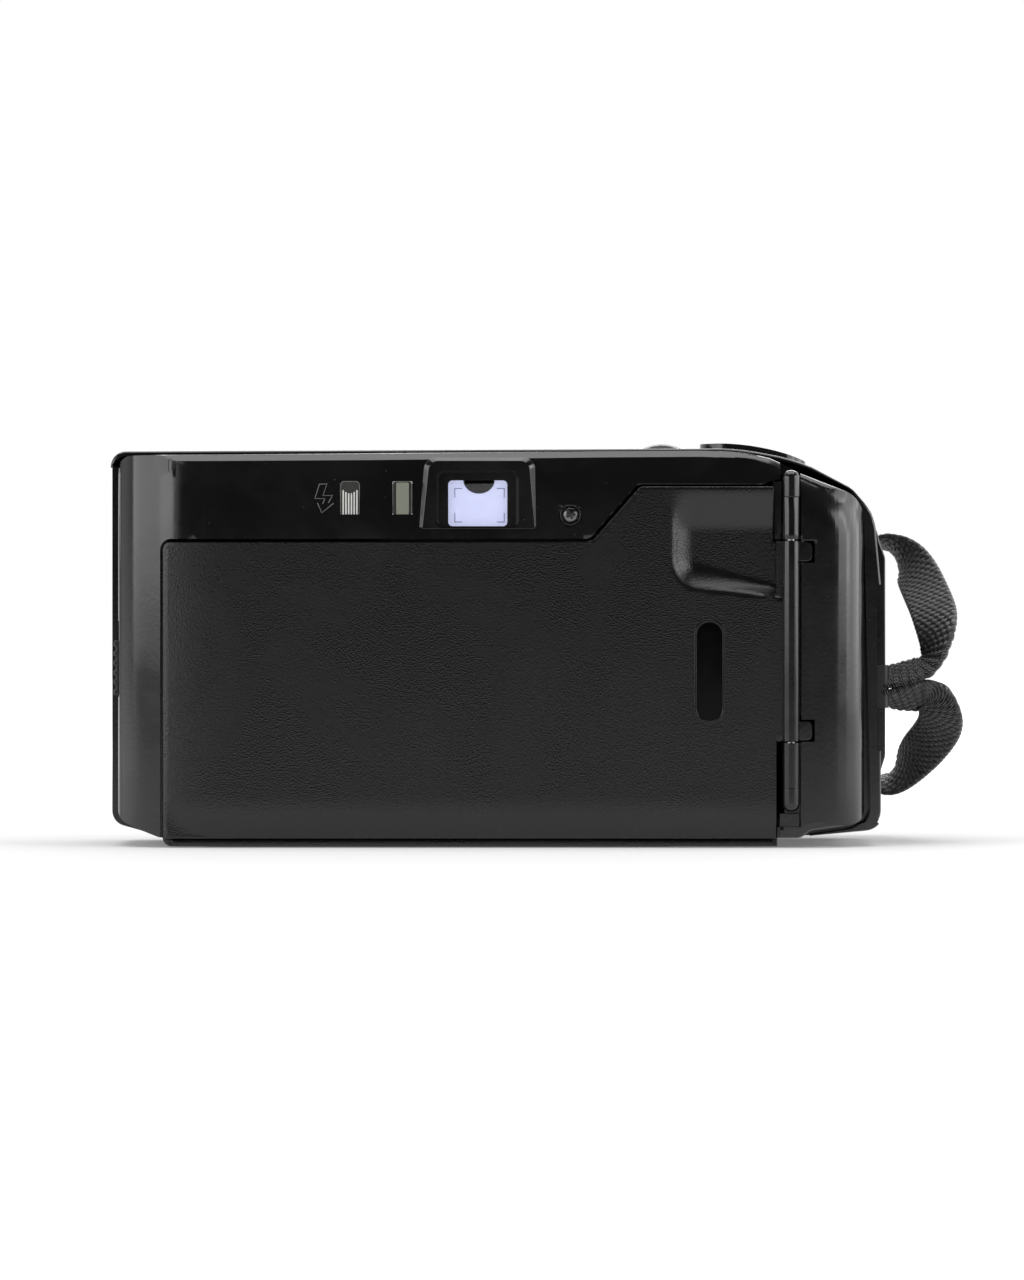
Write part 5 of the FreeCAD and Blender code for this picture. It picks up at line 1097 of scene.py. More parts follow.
@dataclass
class Studio:
    """The floor, the lamps, the pale surroundings and the photograph's view."""

    view_distance: float = 900.0
    view_x: float = 2.17
    view_z: float = 34.67
    frame_tall: float = 1280.0
    pixels_per_mm: float = 6.0
    floor_half: float = 4000.0
    paper: float = 0.50
    near_seen: float = 0.14
    near_glow: float = 0.40
    haze_start: float = 150.0
    haze_end: float = 900.0
    unlit_floor: float = 0.03
    unlit_room: float = 0.02
    room_fill: float = 0.62
    sensor: float = 36.0
    aim: Point = (0, 0, 35)
    lamps: Sequence[tuple[str, Point, Flat, float]] = (
        ("left_softbox", (-610, -330, 228), (840, 390), 3.2),
        ("left_card", (-430, -560, 160), (300, 250), 0.9),
        ("right_card", (540, -300, 200), (320, 330), 3.6),
        ("right_softbox", (650, 20, 215), (600, 400), 3.0),
        ("top_softbox", (0, -60, 760), (900, 560), 3.4),
        ("front_fill", (60, 700, 500), (700, 500), 3.0))

    def build(self) -> None:
        """Makes the whole studio."""
        self.make_camera()
        self.make_floor()
        self.make_world()
        for lamp in self.lamps:
            self.make_lamp(*lamp)

    def make_camera(self) -> None:
        """Puts the camera level with the object, as in the photograph."""
        data = bpy.data.cameras.new("photographer")
        data.sensor_width = self.sensor
        data.lens = self.sensor * self.view_distance / (self.frame_tall / self.pixels_per_mm)
        data.clip_start, data.clip_end = 0.01, 50
        camera = add_object("photographer", data)
        camera.location = Vector((self.view_x, REAR - self.view_distance, self.view_z)) * MM
        camera.rotation_euler = (math.pi / 2, 0, 0)
        bpy.context.scene.camera = camera

    def make_floor(self) -> None:
        """Makes the pale floor, which shows shadows and fades into the backdrop."""
        bpy.ops.object.select_all(action="DESELECT")
        bpy.ops.mesh.primitive_plane_add(size=2 * self.floor_half * MM)
        floor = bpy.context.object
        floor.name = "floor"
        material = bpy.data.materials.new("pale_floor")
        material.use_nodes = True
        sheet = Sheet(material.node_tree)
        material.node_tree.nodes.clear()
        path = sheet.add("ShaderNodeLightPath")
        paper = sheet.add("ShaderNodeBsdfDiffuse", {"Color": (self.paper,) * 3})
        glow = sheet.add("ShaderNodeEmission", {"Color": (1.0, 1.0, 1.0)})
        place = sheet.add("ShaderNodeTexCoord").outputs["Object"]
        away = sheet.add("ShaderNodeVectorMath", {"Vector": place}, operation="LENGTH").outputs["Value"]
        haze = sheet.ramp(away, self.haze_start * MM, self.haze_end * MM, self.near_seen, 1.0)
        mirrored = sheet.ramp(away, self.haze_start * MM, self.haze_end * MM, self.near_glow, 1.0)
        depth = sheet.add("ShaderNodeSeparateXYZ", {"Vector": place}).outputs["Y"]
        lit = sheet.ramp(depth, -self.haze_end * MM / 2, -self.haze_start * MM / 3,
                         self.unlit_floor, 1.0)
        backdrop = sheet.math("MULTIPLY", path.outputs["Is Camera Ray"], haze)
        shown = sheet.math("MULTIPLY", mirrored, lit)
        gloss = sheet.math("MULTIPLY", path.outputs["Is Glossy Ray"], shown)
        sheet.put(glow.inputs["Strength"], sheet.math("MAXIMUM", backdrop, gloss))
        both = sheet.add("ShaderNodeAddShader")
        sheet.put(both.inputs[0], paper.outputs[0])
        sheet.put(both.inputs[1], glow.outputs[0])
        output = sheet.add("ShaderNodeOutputMaterial")
        sheet.put(output.inputs["Surface"], both.outputs[0])
        floor.data.materials.append(material)

    def make_world(self) -> None:
        """Makes the surroundings: white behind the object, dimmer behind the photographer."""
        world = bpy.data.worlds.new("studio")
        bpy.context.scene.world = world
        world.use_nodes = True
        sheet = Sheet(world.node_tree)
        world.node_tree.nodes.clear()
        path = sheet.add("ShaderNodeLightPath")
        place = sheet.add("ShaderNodeTexCoord").outputs["Generated"]
        toward = sheet.add("ShaderNodeSeparateXYZ", {"Vector": place})
        room = sheet.ramp(toward.outputs["Y"], -0.25, 0.5, self.unlit_room, 1.0)
        clear = sheet.math("MAXIMUM", path.outputs["Is Camera Ray"], path.outputs["Is Transmission Ray"])
        soft = sheet.math("MULTIPLY", room, path.outputs["Is Glossy Ray"])
        rest = sheet.math("MULTIPLY", path.outputs["Is Diffuse Ray"], self.room_fill)
        level = sheet.math("MAXIMUM", clear, sheet.math("MAXIMUM", soft, rest))
        light = sheet.add("ShaderNodeBackground", {"Color": (1.0, 1.0, 1.0), "Strength": level})
        output = sheet.add("ShaderNodeOutputWorld")
        sheet.put(output.inputs["Surface"], light.outputs[0])
        bpy.context.scene.view_settings.view_transform = "Standard"

    def make_lamp(self, name: str, at: Point, size: Flat, brightness: float) -> None:
        """Makes a softbox that faces the camera body.

        Args:
            name: the lamp's name.
            at: its place.
            size: its width and height.
            brightness: how bright its face is, where white paper in full light is 1.
        """
        data = bpy.data.lights.new(name, "AREA")
        data.shape = "RECTANGLE"
        data.size, data.size_y = size[0] * MM, size[1] * MM
        data.energy = brightness * math.pi * data.size * data.size_y
        lamp = add_object(name, data)
        lamp.location = Vector(at) * MM
        toward = Vector(self.aim) - Vector(at)
        lamp.rotation_euler = toward.to_track_quat("-Z", "Y").to_euler()


@dataclass
class Strap:
    """The hand strap: a woven ribbon that goes round the bar and hangs in front of the camera.

    Where the photograph shows it, a station holds the strap's outer and inner edge as seen on the
    plane of the rear face, and the depth of its middle. The hidden part holds true places.
    """

    width: float = 8.0
    thickness: float = 1.3
    rib_pitch: float = 1.25
    rib_wide: float = 1.25
    relief: float = 0.34
    edge_round: float = 0.45
    scallop: float = 0.018
    step: float = 0.22
    across: int = 34
    upper: Sequence[tuple[Flat, Flat, float]] = (
        ((64.5, 26.9), (64.5, 30.2), -2.0), ((66.2, 26.8), (66.0, 30.5), -2.5),
        ((68.8, 27.4), (68.4, 31.2), -3.0), ((71.4, 28.4), (70.4, 31.7), -3.2),
        ((73.6, 30.6), (71.2, 32.4), -3.0), ((75.2, 33.6), (71.0, 34.4), -2.0),
        ((75.9, 36.8), (70.4, 37.0), 0.5), ((75.5, 39.8), (69.2, 39.9), 5.5),
        ((74.2, 43.1), (67.9, 42.6), 12.0), ((72.1, 46.5), (67.0, 45.4), 19.0),
        ((69.1, 49.2), (66.1, 47.6), 25.0), ((66.1, 51.0), (64.9, 49.6), 28.0),
        ((63.2, 51.5), (63.0, 50.3), 29.5))
    hidden: Sequence[tuple[Point, Point]] = (
        ((58.8, 30.5, 51.2), (0.0, -1.0, 0.0)), ((54.2, 31.5, 47.6), (0.0, -1.0, 0.0)),
        ((52.2, 32.0, 40.0), (0.0, -1.0, 0.0)), ((51.8, 32.0, 29.0), (0.0, -1.0, 0.0)),
        ((52.4, 31.8, 18.0), (0.0, -1.0, 0.0)), ((54.6, 31.4, 11.4), (0.0, -1.0, 0.0)),
        ((58.8, 30.8, 9.2), (0.0, -1.0, 0.0)))
    lower: Sequence[tuple[Flat, Flat, float]] = (
        ((63.4, 10.1), (63.0, 11.6), 30.0), ((65.7, 10.3), (64.9, 12.4), 28.5),
        ((68.4, 11.4), (65.9, 14.3), 25.0), ((71.4, 13.8), (67.2, 16.6), 19.0),
        ((74.4, 16.2), (68.8, 18.9), 11.5), ((76.7, 19.0), (70.0, 20.9), 5.0),
        ((77.0, 21.6), (70.5, 22.0), 0.5), ((76.0, 24.4), (70.6, 22.7), -2.2),
        ((74.2, 27.6), (70.0, 23.0), -3.5), ((71.2, 27.9), (69.4, 22.9), -3.5),
        ((68.5, 26.9), (68.0, 22.9), -3.0), ((66.2, 26.3), (66.0, 23.3), -2.5),
        ((64.5, 26.1), (64.5, 23.5), -2.0))

    def shown(self, outer: Flat, inner: Flat, depth: float) -> tuple[Point, Point]:
        """Turns two seen edges into a true place and the vector across the webbing.

        Args:
            outer: x and z of the outer edge as seen.
            inner: x and z of the inner edge as seen.
            depth: y of the middle.

        Returns:
            The middle and the half width's vector, whose outer end is the nearer one.
        """
        half = Vector(((outer[0] - inner[0]) / 2, (outer[1] - inner[1]) / 2))
        near = math.sqrt(max(0.5, (self.width / 2) ** 2 - half.length_squared))
        ends = []
        for (x, z), y in ((outer, depth - near), (inner, depth + near)):
            grow = 1 + (y - REAR) / Studio.view_distance
            ends.append(Vector((Studio.view_x + (x - Studio.view_x) * grow, y,
                                max(0.3, Studio.view_z + (z - Studio.view_z) * grow))))
        return tuple((ends[0] + ends[1]) / 2), tuple((ends[0] - ends[1]) / 2)

    def route(self) -> list[tuple[Point, Point]]:
        """Every station from the bar, round the front and back to the bar."""
        return ([self.shown(*station) for station in self.upper] + list(self.hidden)
                + [self.shown(*station) for station in self.lower])

    def line(self, points: Sequence[Point]) -> np.ndarray:
        """Reads the smooth line of a NURBS spline with these control points.

        Args:
            points: the control points in millimetres.

        Returns:
            Points along the line in millimetres.
        """
        curve = bpy.data.curves.new("route", "CURVE")
        curve.dimensions = "3D"
        curve.resolution_u = 24
        spline = curve.splines.new("NURBS")
        spline.points.add(len(points) - 1)
        for point, place in zip(spline.points, points):
            point.co = (*(part * MM for part in place), 1.0)
        spline.order_u = 3
        spline.use_endpoint_u = True
        holder = add_object("route", curve)
        bpy.context.view_layer.update()
        mesh = bpy.data.meshes.new_from_object(holder)
        read = np.array([vertex.co for vertex in mesh.vertices]) / MM
        bpy.data.objects.remove(holder)
        bpy.data.meshes.remove(mesh)
        return read

    def stations(self) -> tuple[np.ndarray, np.ndarray, np.ndarray]:
        """Works out even stations along the strap.

        Returns:
            Places, the unit vector across the webbing and the unit vector out of its face.
        """
        route = self.route()
        middle = self.line([place for place, _ in route])
        edge = self.line([tuple(Vector(place) + Vector(across).normalized()) for place, across in route])
        across = edge - middle
        run = np.concatenate([[0.0], np.cumsum(np.linalg.norm(np.diff(middle, axis=0), axis=1))])
        places = np.arange(0.0, run[-1], self.step)
        line = np.stack([np.interp(places, run, middle[:, k]) for k in range(3)], axis=1)
        side = np.stack([np.interp(places, run, across[:, k]) for k in range(3)], axis=1)
        heading = np.gradient(line, axis=0)
        heading /= np.linalg.norm(heading, axis=1)[:, None]
        side -= heading * np.sum(side * heading, axis=1)[:, None]
        side /= np.linalg.norm(side, axis=1)[:, None]
        return line, side, np.cross(heading, side)

    def weave(self, u: np.ndarray, v: float) -> np.ndarray:
        """Height of the woven ribs.

        Args:
            u: places across the webbing.
            v: place along it.

        Returns:
            Heights from 0 to 1.
        """
        row = math.floor(v / self.rib_pitch)
        along = (v / self.rib_pitch - row - 0.5) * 2
        shifted = u / self.rib_wide + (0.5 if row % 2 else 0.0)
        over = (shifted - np.floor(shifted) - 0.5) * 2
        return np.sqrt(np.clip(1.0 - 0.92 * over ** 2 - 0.85 * along ** 2, 0.0, 1.0))

    def build(self, bench: Bench) -> None:
        """Makes the strap.

        Args:
            bench: the modelling steps.
        """
        line, side, out = self.stations()
        half = self.width / 2
        u = np.linspace(-half, half, self.across + 1)
        edge = np.clip((half - np.abs(u)) / self.edge_round, 0.0, 1.0) ** 0.5
        points, maps = [], []
        for i, (place, sideways, outward) in enumerate(zip(line, side, out)):
            v = i * self.step
            ribs = self.weave(u + half, v)
            scallop = 1.0 - self.scallop * (1 - abs(math.sin(math.pi * v / self.rib_pitch)))
            thick = (self.thickness / 2 - self.relief) * edge + self.relief * ribs * edge
            for sign, order in ((1, slice(None)), (-1, slice(None, None, -1))):
                for across, lift in zip(u[order], thick[order]):
                    points.append(place + sideways * across * scallop + outward * sign * lift)
                    maps.append((across, v * sign))
        ring = 2 * len(u)
        faces = []
        for i in range(len(line) - 1):
            for k in range(ring):
                after = (k + 1) % ring
                faces.append((i * ring + k, (i + 1) * ring + k, (i + 1) * ring + after, i * ring + after))
        last = (len(line) - 1) * ring
        faces += [tuple(range(ring)), tuple(range(last + ring - 1, last - 1, -1))]
        mesh = bpy.data.meshes.new("webbing_strap")
        mesh.from_pydata([tuple(point * MM) for point in points], [], faces)
        layer = mesh.uv_layers.new(name="webbing")
        for loop in mesh.loops:
            layer.data[loop.index].uv = maps[loop.vertex_index]
        strap = add_object("webbing_strap", mesh)
        with bench.shaping(strap):
            bpy.ops.mesh.remove_doubles(threshold=1e-6)
            bpy.ops.mesh.normals_make_consistent(inside=False)
        bench.settle(strap, "camera", Look.WEBBING, ["strap"], angle=None)


@dataclass
class FilmDoor:
    """The textured film door with its thumb recess, lip, stop tabs and barrel."""

    thickness: float = 2.0
    left: float = -56.2
    right: float = 46.5
    right_high: float = 46.0
    leaf: float = 47.8
    low: float = 0.2
    top: float = 51.2
    top_high: float = 60.3
    step_start: float = 15.5
    step_end: float = 23.5
    corner: float = 1.5
    edge: float = 0.28
    cell: float = 1.1
    lip: float = 1.35
    foot_depth: float = 1.3
    foot_most: float = 1.75
    back_start: float = 1.5
    foot_run: float = 0.35
    margin_left: float = 12.5
    margin_low: float = 6.8
    fall: float = 1.1
    fall_power: float = 2.2
    recess_left: float = 28.9
    recess_low: float = 43.5
    recess_high: float = 59.9
    recess_wall: float = 4.0
    recess_foot: float = 5.4
    recess_narrow: float = 0.21
    recess_slant: float = 0.09
    recess_power: float = 1.7
    recess_fade: float = 7.0
    recess_depth: float = 2.1
    window_x: float = 35.1
    window_z: float = 29.4
    window_half: Flat = (2.62, 8.72)
    window_clear: float = 0.03
    barrel_radius: float = 1.45
    barrel_low: float = 17.7
    barrel_high: float = 51.25
    barrel_edge: float = 0.12
    knuckle_tall: float = 7.7
    tab_tall: float = 3.2
    lip_front: float = 4.0

    def outline(self) -> list[Flat]:
        """Outlines the door's face, anticlockwise from its lower left corner.

        Returns:
            The outline's points.
        """
        leaf_low = span("hinge_pin")[0].z + self.knuckle_tall
        return rounded_outline([
            (self.left, self.low, self.corner), (self.right, self.low, 0.0),
            (self.right, leaf_low, 0.0), (self.leaf, leaf_low, 0.0),
            (self.leaf, self.barrel_high, 0.0), (self.right_high, self.barrel_high, 0.0),
            (self.right_high, self.top_high, 0.6), (self.step_end, self.top_high, self.corner),
            (self.step_start, self.top, self.corner), (self.left, self.top, self.corner)])

    def depth(self, x: float, z: float) -> float:
        """How far the door's face lies in front of its flat plane.

        Args:
            x: place across.
            z: place up.

        Returns:
            The depth in millimetres, 0 on the flat.
        """
        towards_left = max(0.0, (self.left + self.margin_left - x) / self.margin_left)
        towards_low = max(0.0, (self.low + self.lip + self.margin_low - z) / self.margin_low)
        outwards = math.hypot(towards_left, min(1.0, towards_low))
        pillow = self.fall * min(1.0, outwards ** self.fall_power)
        foot = self.foot_depth * ease((self.low + self.lip - z) / self.foot_run)
        past = x - self.recess_left
        from_left = max(0.0, 1 - past / self.recess_wall)
        from_low = max(0.0, 1 - (z - self.recess_low + self.recess_slant * past)
                       / (self.recess_foot - self.recess_narrow * past))
        inside = max(0.0, 1 - math.hypot(from_left, from_low))
        wall = (1 - (1 - inside) ** self.recess_power) if past > 0 else 0.0
        hollow = self.recess_depth * wall * ease((self.recess_high - z) / self.recess_fade)
        return min(self.foot_most, pillow + foot) + hollow

    def build(self, bench: Bench) -> None:
        """Makes the door's pieces.

        Args:
            bench: the modelling steps.
        """
        self.make_panel(bench)
        self.make_hinge_side(bench)
        self.make_window(bench)

    def make_panel(self, bench: Bench) -> None:
        """Makes the moulded panel.

        Args:
            bench: the modelling steps.
        """
        back = REAR + self.thickness
        panel = bench.plate("door_moulding", self.outline(), REAR, back)
        with bench.shaping(panel, everything=False):
            bench.choose_edges(panel, lambda a, b: a.y < REAR + 0.01 and b.y < REAR + 0.01)
            bpy.ops.mesh.bevel(offset=self.edge * MM, segments=3, affect="EDGES")

        def rear_face(middle: Vector, normal: Vector) -> bool:
            """Whether a face is the flat rear one."""
            return normal.y < -0.999

        def either_face(middle: Vector, normal: Vector) -> bool:
            """Whether a face is flat, on either side of the panel."""
            return abs(normal.y) > 0.999

        wide = np.arange(self.left + self.cell, self.leaf, self.cell)
        fine = np.arange(self.recess_left - 0.4, self.leaf, self.cell / 2)
        bench.slice(panel, ACROSS, wide, rear_face)
        bench.slice(panel, ACROSS, fine, either_face)
        tall = np.arange(self.low + 2.2, self.top_high, self.cell)
        foot = np.arange(self.low + 0.2, self.low + 2.0, 0.18)
        close = np.arange(self.recess_low - 2.0, self.recess_high, self.cell / 2)
        bench.slice(panel, UPWARD, [*foot, *tall], rear_face)
        bench.slice(panel, UPWARD, close, either_face)

        def sink(place: Vector) -> tuple[float, float, float]:
            """Gives the rear half the face's form, and moves the back where the face comes near it.

            Args:
                place: a vertex's place in millimetres.

            Returns:
                Its movement.
            """
            depth = self.depth(place.x, place.z)
            behind = (place.y - REAR) / self.thickness
            if behind < 0.5:
                return 0.0, depth, 0.0
            return 0.0, (max(0.0, depth - self.back_start) if behind > 0.9 else 0.0), 0.0

        bench.bend(panel, sink)
        slot = self.ring(-self.window_clear, 2.6)
        bench.cut(panel, bench.plate("slot_tool", slot, REAR - 2, back + 3))
        bench.settle(panel, "door", Look.DOOR, ["door_panel"], angle=50.0)

    def make_hinge_side(self, bench: Bench) -> None:
        """Makes the barrel, the stop tabs, the lip and the inner catch and pins.

        Args:
            bench: the modelling steps.
        """
        low, high = span("door_panel")
        axis_x, axis_y = (span("hinge_pin")[0] + span("hinge_pin")[1]).xy / 2
        radius, edge, tall = self.barrel_radius, self.barrel_edge, self.barrel_high - self.barrel_low
        barrel = bench.turned("door_barrel", (axis_x, axis_y, self.barrel_low), Axis.UP, [
            (0, 0), (radius - edge, 0), (radius, edge), (radius, tall - edge), (radius - edge, tall),
            (0, tall)])
        bench.settle(barrel, "door", Look.GLOSS)
        leaf = bench.box("door_leaf", (self.right - 0.2, REAR + 0.6, self.barrel_low),
                         (axis_x, axis_y + 0.9, self.barrel_high))
        bench.settle(bench.bevel(leaf, 0.12), "door", Look.DOOR)
        for name, foot in (("lower_stop_tab", 17.95), ("upper_stop_tab", 47.8)):
            tab = bench.box(name, (axis_x, axis_y - 0.45, foot),
                            (axis_x + 3.5, axis_y + 0.75, foot + self.tab_tall))
            with bench.shaping(tab, everything=False):
                bench.choose_edges(tab, lambda a, b: min(a.x, b.x) > axis_x + 3 and abs(a.y - b.y) > 0.5)
                bpy.ops.mesh.bevel(offset=0.8 * MM, segments=4, affect="EDGES")
            bench.settle(bench.bevel(tab, 0.15), "door", Look.GLOSS)
        lip = bench.box("door_lip", (self.left + self.corner, REAR + self.lip, low.z),
                        (self.right - 0.6, REAR + self.lip_front, low.z + 1.1))
        bench.settle(bench.bevel(lip, 0.3), "door", Look.DOOR)
        catch = bench.box("door_catch", (self.left + 1.2, REAR + 1.9, 27.0),
                          (self.left + 2.6, high.y, 33.0))
        bench.settle(bench.bevel(catch, 0.3), "door", Look.SOFT)
        for name, x in (("left_plate_pin", -13.0), ("right_plate_pin", 13.0)):
            pin = bench.rod(name, (x, REAR + 1.5, LENS_Z), Axis.Y, 0.9, 1.8, 32)
            bench.settle(bench.bevel(pin, 0.2), "door", Look.SOFT)

    def ring(self, inset: float, radius: float | None = None) -> list[Flat]:
        """Outlines the window's slot, smaller by an inset.

        Args:
            inset: how far inside the rim's outer edge the line runs.
            radius: the corners' radius, or None for nearly half round ends.

        Returns:
            The outline's points.
        """
        wide, tall = self.window_half[0] - inset, self.window_half[1] - inset
        return oblong((self.window_x - wide, self.window_z - tall),
                      (self.window_x + wide, self.window_z + tall), radius or wide * 0.98)

    def make_window(self, bench: Bench) -> None:
        """Makes the cassette window: a bright-edged rim round a deep dark pane.

        Args:
            bench: the modelling steps.
        """
        rim = bench.plate("window_rim", self.ring(0.0), REAR - 0.13, REAR + self.thickness + 0.2)
        bench.cut(rim, bench.plate("rim_tool", self.ring(0.48), REAR - 2, REAR + 1.35))
        bench.bevel(rim, 0.13, 3)
        bench.settle(rim, "door", Look.GLOSS, ["cassette_window"])
        pane = bench.plate("window_pane", self.ring(0.42), REAR + 1.1, REAR + 1.5)
        bench.settle(bench.bevel(pane, 0.1), "door", Look.PANE)


@dataclass
class Covers:
    """The glossy rear and front covers with their small marks and fittings."""

    edge: float = 0.22
    line_wide: float = 0.2
    chamfer: float = 1.15
    rim_round: float = 0.5
    bar_bow: float = 0.42
    wrap_middle: float = 26.9
    wrap_pull: float = 0.36
    shade_low: Flat = (45.7, 51.6)
    shade_high: Flat = (47.2, 61.2)
    left_cuts: tuple[float, float, float] = (-63.4, -50.0, 0.6)
    middle_cuts: tuple[float, float, float] = (-49.0, 41.0, 1.5)
    right_cuts: tuple[float, float, float] = (42.0, 60.6, 0.8)
    top_cuts: tuple[float, float, float] = (50.6, 63.3, 0.85)
    bolt: Sequence[Outline] = (
        ((-29.37, 57.39), (-29.02, 58.22), (-30.68, 58.28), (-29.94, 60.64), (-28.67, 60.70),
         (-29.34, 58.73), (-27.74, 58.79), (-28.44, 57.52)),
        ((-30.26, 57.52), (-29.53, 55.86), (-27.55, 57.48)))

    def build(self, bench: Bench) -> None:
        """Makes the covers' pieces.

        Args:
            bench: the modelling steps.
        """
        self.make_rear(bench)
        self.make_front(bench)
        self.make_bolt(bench)
        self.make_screw(bench)
        bar = bench.refined("strap_bar", "carry_bar", 0.3, 3)
        bench.bend(bar, lambda place: (self.bar_bow if place.x > 64.7 else 0.0, 0.0, 0.0))
        bench.settle(bar, "camera", Look.GLOSS)
        wrap = bench.refined("strap_hitch", "strap_wrap", 0.3, 2)
        bench.bend(wrap, lambda place: (0.0, 0.0, (self.wrap_middle - place.z) * self.wrap_pull))
        bench.settle(wrap, "camera", Look.WEBBING)
        caps = bench.refined("hinge_caps", "barrel_caps", 0.12)
        bench.settle(caps, "camera", Look.GLOSS)
        # Painted shade: a matt black strip behind the hinge trough that closes the gap where the cell
        # sleeve would show.
        shade = bench.box("trough_shade", (self.shade_low[0], REAR + 2.55, self.shade_low[1]),
                          (self.shade_high[0], REAR + 2.8, self.shade_high[1]))
        bench.settle(bench.bevel(shade, 0.05, 1), "camera", Look.INSIDE)

    def make_rear(self, bench: Bench) -> None:
        """Makes the rear cover: a long soft curve at the left, a crowned top and a soft shoulder.

        Args:
            bench: the modelling steps.
        """
        rear = bench.refined("rear_cover", "rear_shell", self.edge)

        def outer(middle: Vector, normal: Vector) -> bool:
            """Whether a face belongs to the skin that the photograph shows."""
            return normal.y < -0.15 and middle.y - REAR < Shell.packed_depth(middle.x) + 0.9

        bench.slice(rear, ACROSS, [*np.arange(*self.left_cuts), *np.arange(*self.right_cuts)], outer)
        bench.slice(rear, UPWARD, np.arange(*self.top_cuts), outer)
        bench.slice(rear, ACROSS, np.arange(*self.middle_cuts),
                    lambda middle, normal: outer(middle, normal) and middle.z > self.top_cuts[0])

        def shift(place: Vector) -> tuple[float, float, float]:
            """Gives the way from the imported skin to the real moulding.

            Args:
                place: a vertex's place in millimetres.

            Returns:
                Its movement.
            """
            behind = place.y - REAR - Shell.packed_depth(place.x)
            skin = 1 - ease((behind - 1.4) / 1.4)
            settled = behind if abs(behind) < 0.35 and place.x < Shell.blend_start else 0.0
            depth = (Shell.side_blend(place.x) + Shell.crown(place.z)
                     + Shell.shoulder(place.x, place.z)) * skin - settled
            chamfer = BODY_TOP - self.chamfer
            if place.x < 42.0 and place.z > chamfer and behind < self.chamfer + 0.1:
                cut = place.z - chamfer + Shell.crown(chamfer) - behind
                depth += (cut - depth) * ease((place.x + 59.0) / 5.0)
            start = follow(place.x, (38, 62.3), (44, 60.5), (50, 57.0))
            soft = follow(place.x, (38, 0.9), (50, 3.0))
            lift = (Shell.rear_rise(place.x) * ease((place.z - start) / soft)
                    * (1 - ease((behind - 6.0) / 1.2)))
            side = 0.6 * ease((place.x - 53.0) / 7.0) + 0.5 * ease((-60.0 - place.x) / 4.6)
            return side, depth, lift

        bench.bend(rear, shift)
        bench.settle(rear, "camera", Look.GLOSS, angle=28.0)

    def make_front(self, bench: Bench) -> None:
        """Makes the front cover, whose rim frames the rear one with a rounded edge.

        Args:
            bench: the modelling steps.
        """
        front = bench.copy_of("front_cover", "front_shell")
        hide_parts("front_cover")
        rim_back = min(vertex.co.y for vertex in front.data.vertices) / MM
        with bench.shaping(front, everything=False):
            bpy.ops.mesh.select_mode(type="EDGE")
            mesh = bmesh.from_edit_mesh(front.data)
            for edge in mesh.edges:
                ends = [vertex.co / MM for vertex in edge.verts]
                middle = (ends[0] + ends[1]) / 2
                outward = any(face.normal.x * middle.x + face.normal.z * (middle.z - LENS_Z) > 10
                              for face in edge.link_faces if abs(face.normal.y) < 0.3)
                edge.select_set(outward and all(abs(end.y - rim_back) < 0.02 for end in ends))
            bmesh.update_edit_mesh(front.data)
            bpy.ops.mesh.bevel(offset=self.rim_round * MM, segments=4, affect="EDGES")
        bench.bevel(front, self.edge)

        def shift(place: Vector) -> tuple[float, float, float]:
            """Lifts the top, draws in the shoulder's end and moves the rim's inner edge.

            Args:
                place: a vertex's place in millimetres.

            Returns:
                Its movement.
            """
            lift = Shell.rim_rise(place.x) * ease((place.z - 58.0) / 5.0)
            drawn = (ease((place.x - 57.0) / 5.0) * ease((place.z - 47.0) / 5.0)
                     * ease((61.5 - place.z) / 3.0))
            inner = 60.8 < place.x < 63.3 and place.y < -11.9
            push = 0.62 * ease((57.0 - place.z) / 5.0) if inner else 0.0
            return push - 0.75 * drawn, 0.0, lift

        bench.bend(front, shift)
        bench.settle(front, "camera", Look.GLOSS)

    def make_bolt(self, bench: Bench) -> None:
        """Makes the thin flash sign beside the lamp window.

        Args:
            bench: the modelling steps.
        """
        curve = bpy.data.curves.new("flash_sign", "CURVE")
        curve.dimensions = "3D"
        curve.bevel_depth = self.line_wide / 2 * MM
        curve.bevel_resolution = 1
        for line in self.bolt:
            spline = curve.splines.new("POLY")
            spline.points.add(len(line) - 1)
            for point, (x, z) in zip(spline.points, line):
                point.co = (x * MM, (REAR + Shell.crown(z) + 0.03) * MM, z * MM, 1.0)
        curve.use_fill_caps = True
        bench.pick(add_object("flash_sign_line", curve))
        bpy.ops.object.convert(target="MESH")
        sign = bpy.context.object
        sign.name = "flash_sign"
        bench.settle(sign, "camera", Look.PRINT, angle=None)

